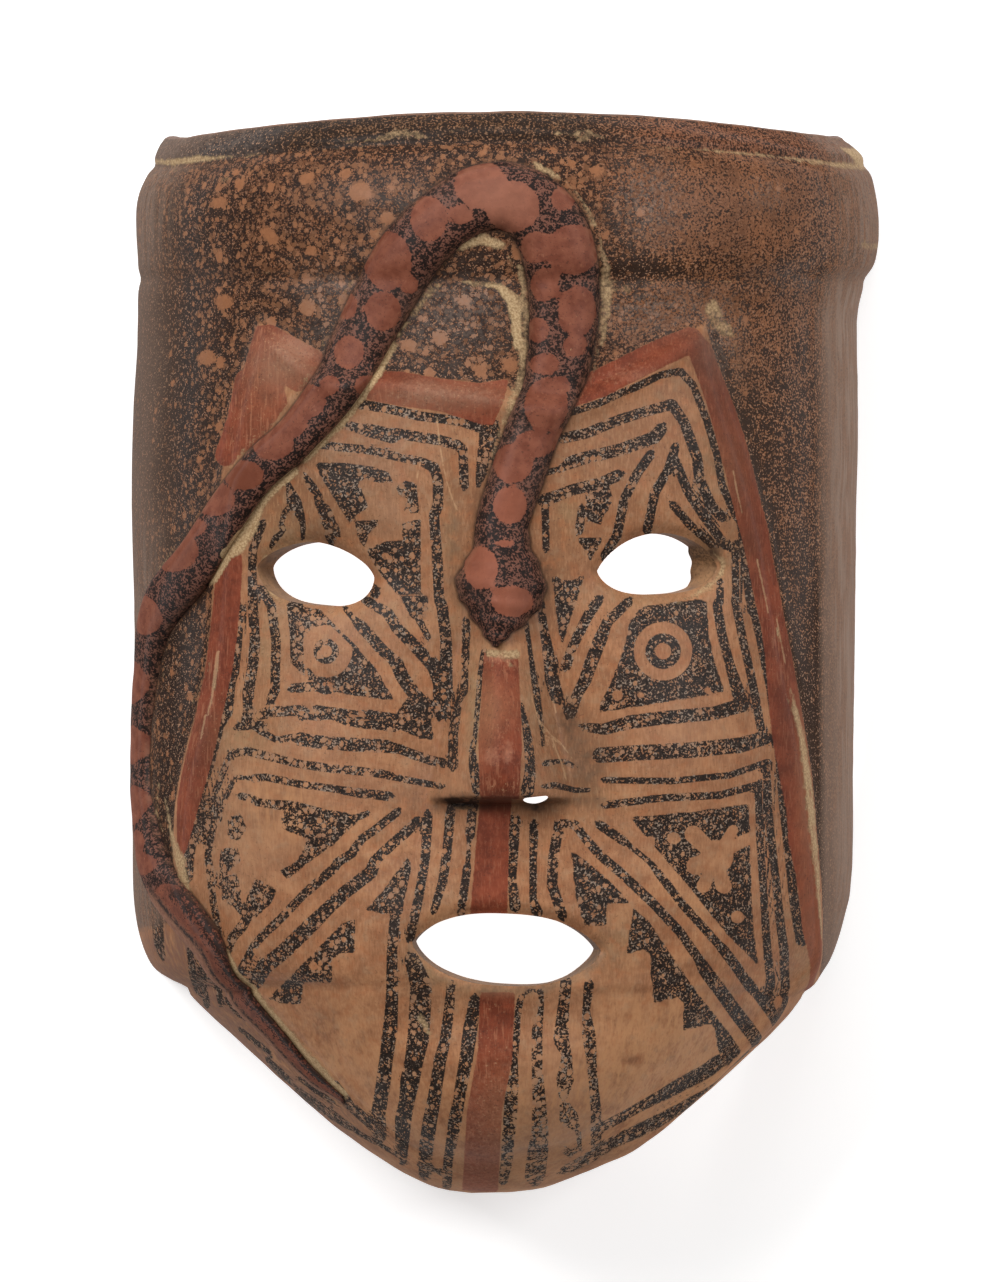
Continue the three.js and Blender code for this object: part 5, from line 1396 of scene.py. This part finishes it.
def snake_slip():
    g = Graph(slots[SNAKE])
    grain = g.noise(1.95, 2, 0.62)
    clump = g.noise(0.85, 3.5, 0.72, shift=(31, 7, 3))
    mid = g.noise(0.36, 2, 0.6, shift=(5, 11, 2))
    wobble = g.add(g.mul(g.sub(clump, 0.5), 6.0), g.mul(g.sub(grain, 0.5), 4.0))
    side = g.m("ABSOLUTE", g.attr("body_side"))
    speck = g.add(g.mul(clump, 0.45), g.mul(grain, 0.55))
    ground = g.mixc(g.step(g.add(speck, g.mul(g.sub(mid, 0.5), 0.2)), 0.50, 0.54), rgb(30, 21, 18), rgb(108, 70, 57))
    ground = g.mixc(g.unit(g.mul(g.attr("film_and_sheen"), g.mul(g.step(clump, 0.36, 0.60), 0.7))), ground, rgb(106, 82, 72))
    spot = g.step(g.add(g.attr("spots"), g.mul(wobble, 0.8)), -0.5, 0.5)
    redc = g.mixc(g.step(mid, 0.36, 0.64), rgb(104, 57, 42), rgb(124, 73, 55))
    redc = g.mixc(g.mul(g.step(clump, 0.61, 0.68), 0.45), redc, rgb(150, 98, 74))
    redc = g.mixc(g.mul(g.step(grain, 0.385, 0.345), 0.5), redc, rgb(62, 42, 34))
    redc = g.mixc(g.unit(g.mul(g.attr("khaki"), 0.9)), redc, rgb(98, 50, 31))
    redc = g.mixc(g.mul(g.attr("head"), 0.55), redc, rgb(142, 84, 63))
    redc = g.mixc(g.unit(g.mul(g.attr("pale"), 0.8)), redc, rgb(150, 100, 80))
    col = g.mixc(spot, ground, redc)
    # the tail: red slip, with black specks along the edge beside the panel
    black = g.sub(g.mul(g.step(g.attr("body_side"), -0.10, -0.55), 0.15), g.mul(g.step(g.attr("body_side"), 0.15, 0.4), 0.2))
    tail = g.mixc(g.step(mid, 0.36, 0.62), rgb(94, 54, 42), rgb(122, 70, 52))
    off = g.add(g.attr("body_side"), g.mul(wobble, 0.05))
    tail = g.mixc(g.step(off, 0.08, 0.32), tail, g.mixc(g.step(clump, 0.4, 0.6), rgb(116, 80, 64), rgb(136, 96, 76)))
    tail = g.mixc(g.mul(g.step(g.m("ABSOLUTE", g.sub(off, 0.30)), 0.16, 0.06), g.step(clump, 0.40, 0.52)), tail, rgb(52, 40, 36))
    tail = g.mixc(g.step(g.sub(g.add(0.405, g.add(black, g.mul(g.sub(mid, 0.5), 0.35))), speck), -0.02, 0.02), tail, rgb(42, 28, 24))
    col = g.mixc(g.attr("tail"), col, tail)
    # lighter shoulders of the body: rubbed wear, partly a painted highlight
    rubbed_and_lit_edges = g.mul(g.step(side, 0.78, 0.95), g.step(mid, 0.40, 0.60))
    col = g.mixc(g.mul(rubbed_and_lit_edges, 0.35), col, rgb(128, 92, 70))
    # painted shade at the foot of the body, where it meets the shell
    low = g.step(side, 0.955, 0.995)
    col = g.mixc(g.mul(low, 0.75), col, rgb(48, 36, 30))
    dep = g.step(g.sub(g.mul(g.attr("deposit"), g.hi(g.step(side, 0.86, 0.99), g.step(g.attr("deposit"), 0.85, 0.89))), g.add(g.mul(clump, 0.55), g.fma(mid, 0.50, g.mul(grain, 0.20)))), -0.10, 0.10)
    cream = g.mixc(g.step(grain, 0.38, 0.62), CREAM_DARK, CREAM)
    col = g.mixc(g.mul(dep, 0.85), col, cream)
    height = g.add(g.mul(mid, 0.6), g.mul(grain, 0.2))
    rough = g.add(g.fma(mid, 0.20, 0.40), g.mul(dep, 0.3))
    rough = g.hi(rough, g.mul(g.step(g.attr("steep"), 0.1, 0.6), 0.9))
    g.finish(col, rough, height, 0.45, 0.0004)


def plain_clay(index, light, deep, spot, shade_and_soil_weight=0.0):
    g = Graph(slots[index])
    mid = g.noise(0.3, 4, 0.6)
    fine = g.noise(1.6, 3, 0.6, shift=(4, 4, 4))
    col = g.mixc(g.step(mid, 0.32, 0.68), deep, light)
    col = g.mixc(g.mul(g.step(fine, 0.56, 0.66), 0.5), col, spot)
    # painted shade, with some soil, on the walls of the openings
    if shade_and_soil_weight:
        col = g.mixc(g.unit(g.mul(g.attr("shade_and_soil"), g.mul(g.step(fine, 0.34, 0.6), shade_and_soil_weight))), col, rgb(74, 60, 46))
    g.finish(col, g.fma(mid, 0.2, 0.55), g.add(g.mul(mid, 0.6), g.mul(fine, 0.25)), 0.55, 0.0005)


face_slip()
snake_slip()
plain_clay(INNER, rgb(152, 104, 74), rgb(118, 78, 56), rgb(92, 62, 46))
plain_clay(RIM, rgb(126, 94, 76), rgb(92, 66, 52), rgb(66, 50, 42))
plain_clay(CUT, rgb(156, 118, 84), rgb(114, 84, 60), rgb(84, 64, 48), 1.0)

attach(mask, "root")
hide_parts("mask")

# ------------------------------------------------------------------ stage

bpy.ops.mesh.primitive_plane_add(size=6.0, location=(0, 0, -0.0002))
floor = bpy.context.object
floor.name = "floor"
fm = bpy.data.materials.new("pale_floor")
g = Graph(fm)
fx = g.t.nodes.new("ShaderNodeSeparateXYZ")
g.t.links.new(g.co, fx.inputs[0])
# paper white that glows: painted light, stronger under the mask, cancels the shade there so that it reads white through
# the openings
far = g.m("SQRT", g.add(g.m("POWER", g.mul(fx.outputs[0], 1 / 82.0), 2.0), g.m("POWER", g.mul(fx.outputs[1], 1 / 118.0), 2.0)))
glow = g.fma(g.step(far, 1.06, 0.92), 0.45, 0.55)
p = g.t.nodes.new("ShaderNodeBsdfPrincipled")
p.inputs["Base Color"].default_value = (0.8, 0.8, 0.8, 1)
p.inputs["Roughness"].default_value = 1.0
p.inputs["Specular IOR Level"].default_value = 0.0
p.inputs["Emission Color"].default_value = (1, 1, 1, 1)
g.link(p.inputs["Emission Strength"], glow)
g.t.links.new(p.outputs[0], g.t.nodes.new("ShaderNodeOutputMaterial").inputs[0])
floor.data.materials.append(fm)

world = bpy.data.worlds.new("studio")
bpy.context.scene.world = world
world.use_nodes = True
world.node_tree.nodes["Background"].inputs[0].default_value = (1, 1, 1, 1)
world.node_tree.nodes["Background"].inputs[1].default_value = 0.20


def softbox(name, place_at, look_at, size, watts):
    data = bpy.data.lights.new(name, "AREA")
    data.shape, data.size, data.size_y, data.energy = "RECTANGLE", size[0], size[1], watts
    o = bpy.data.objects.new(name, data)
    bpy.context.scene.collection.objects.link(o)
    o.location = place_at
    o.rotation_euler = (Vector(look_at) - Vector(place_at)).to_track_quat("-Z", "Y").to_euler()
    return o


softbox("key", (-0.75, 0.55, 1.15), (0, 0, 0.06), (0.45, 0.75), 14)
softbox("fill", (0.95, 0.35, 0.95), (0, 0, 0.06), (0.45, 0.8), 8)
softbox("top", (0.0, 1.05, 0.85), (0, 0, 0.06), (0.9, 0.35), 6)

cam = bpy.data.cameras.new("camera")
cam.sensor_fit, cam.sensor_width = "HORIZONTAL", 36.0
cam.lens = 36.0 * 2340 / (1000 * UNIT)
cam.clip_start, cam.clip_end = 0.01, 50
camera = bpy.data.objects.new("camera", cam)
bpy.context.scene.collection.objects.link(camera)
# the elevation's origin is u 504, v 651.5; the picture's middle is u 500, v 641
camera.location = ((float(X(500)) + SHIFT[0]) * 0.001, (float(Y(641)) + SHIFT[1]) * 0.001, 2.4)
bpy.context.scene.camera = camera

bpy.context.scene.view_settings.view_transform = "Standard"
bpy.context.scene.view_settings.look = "None"
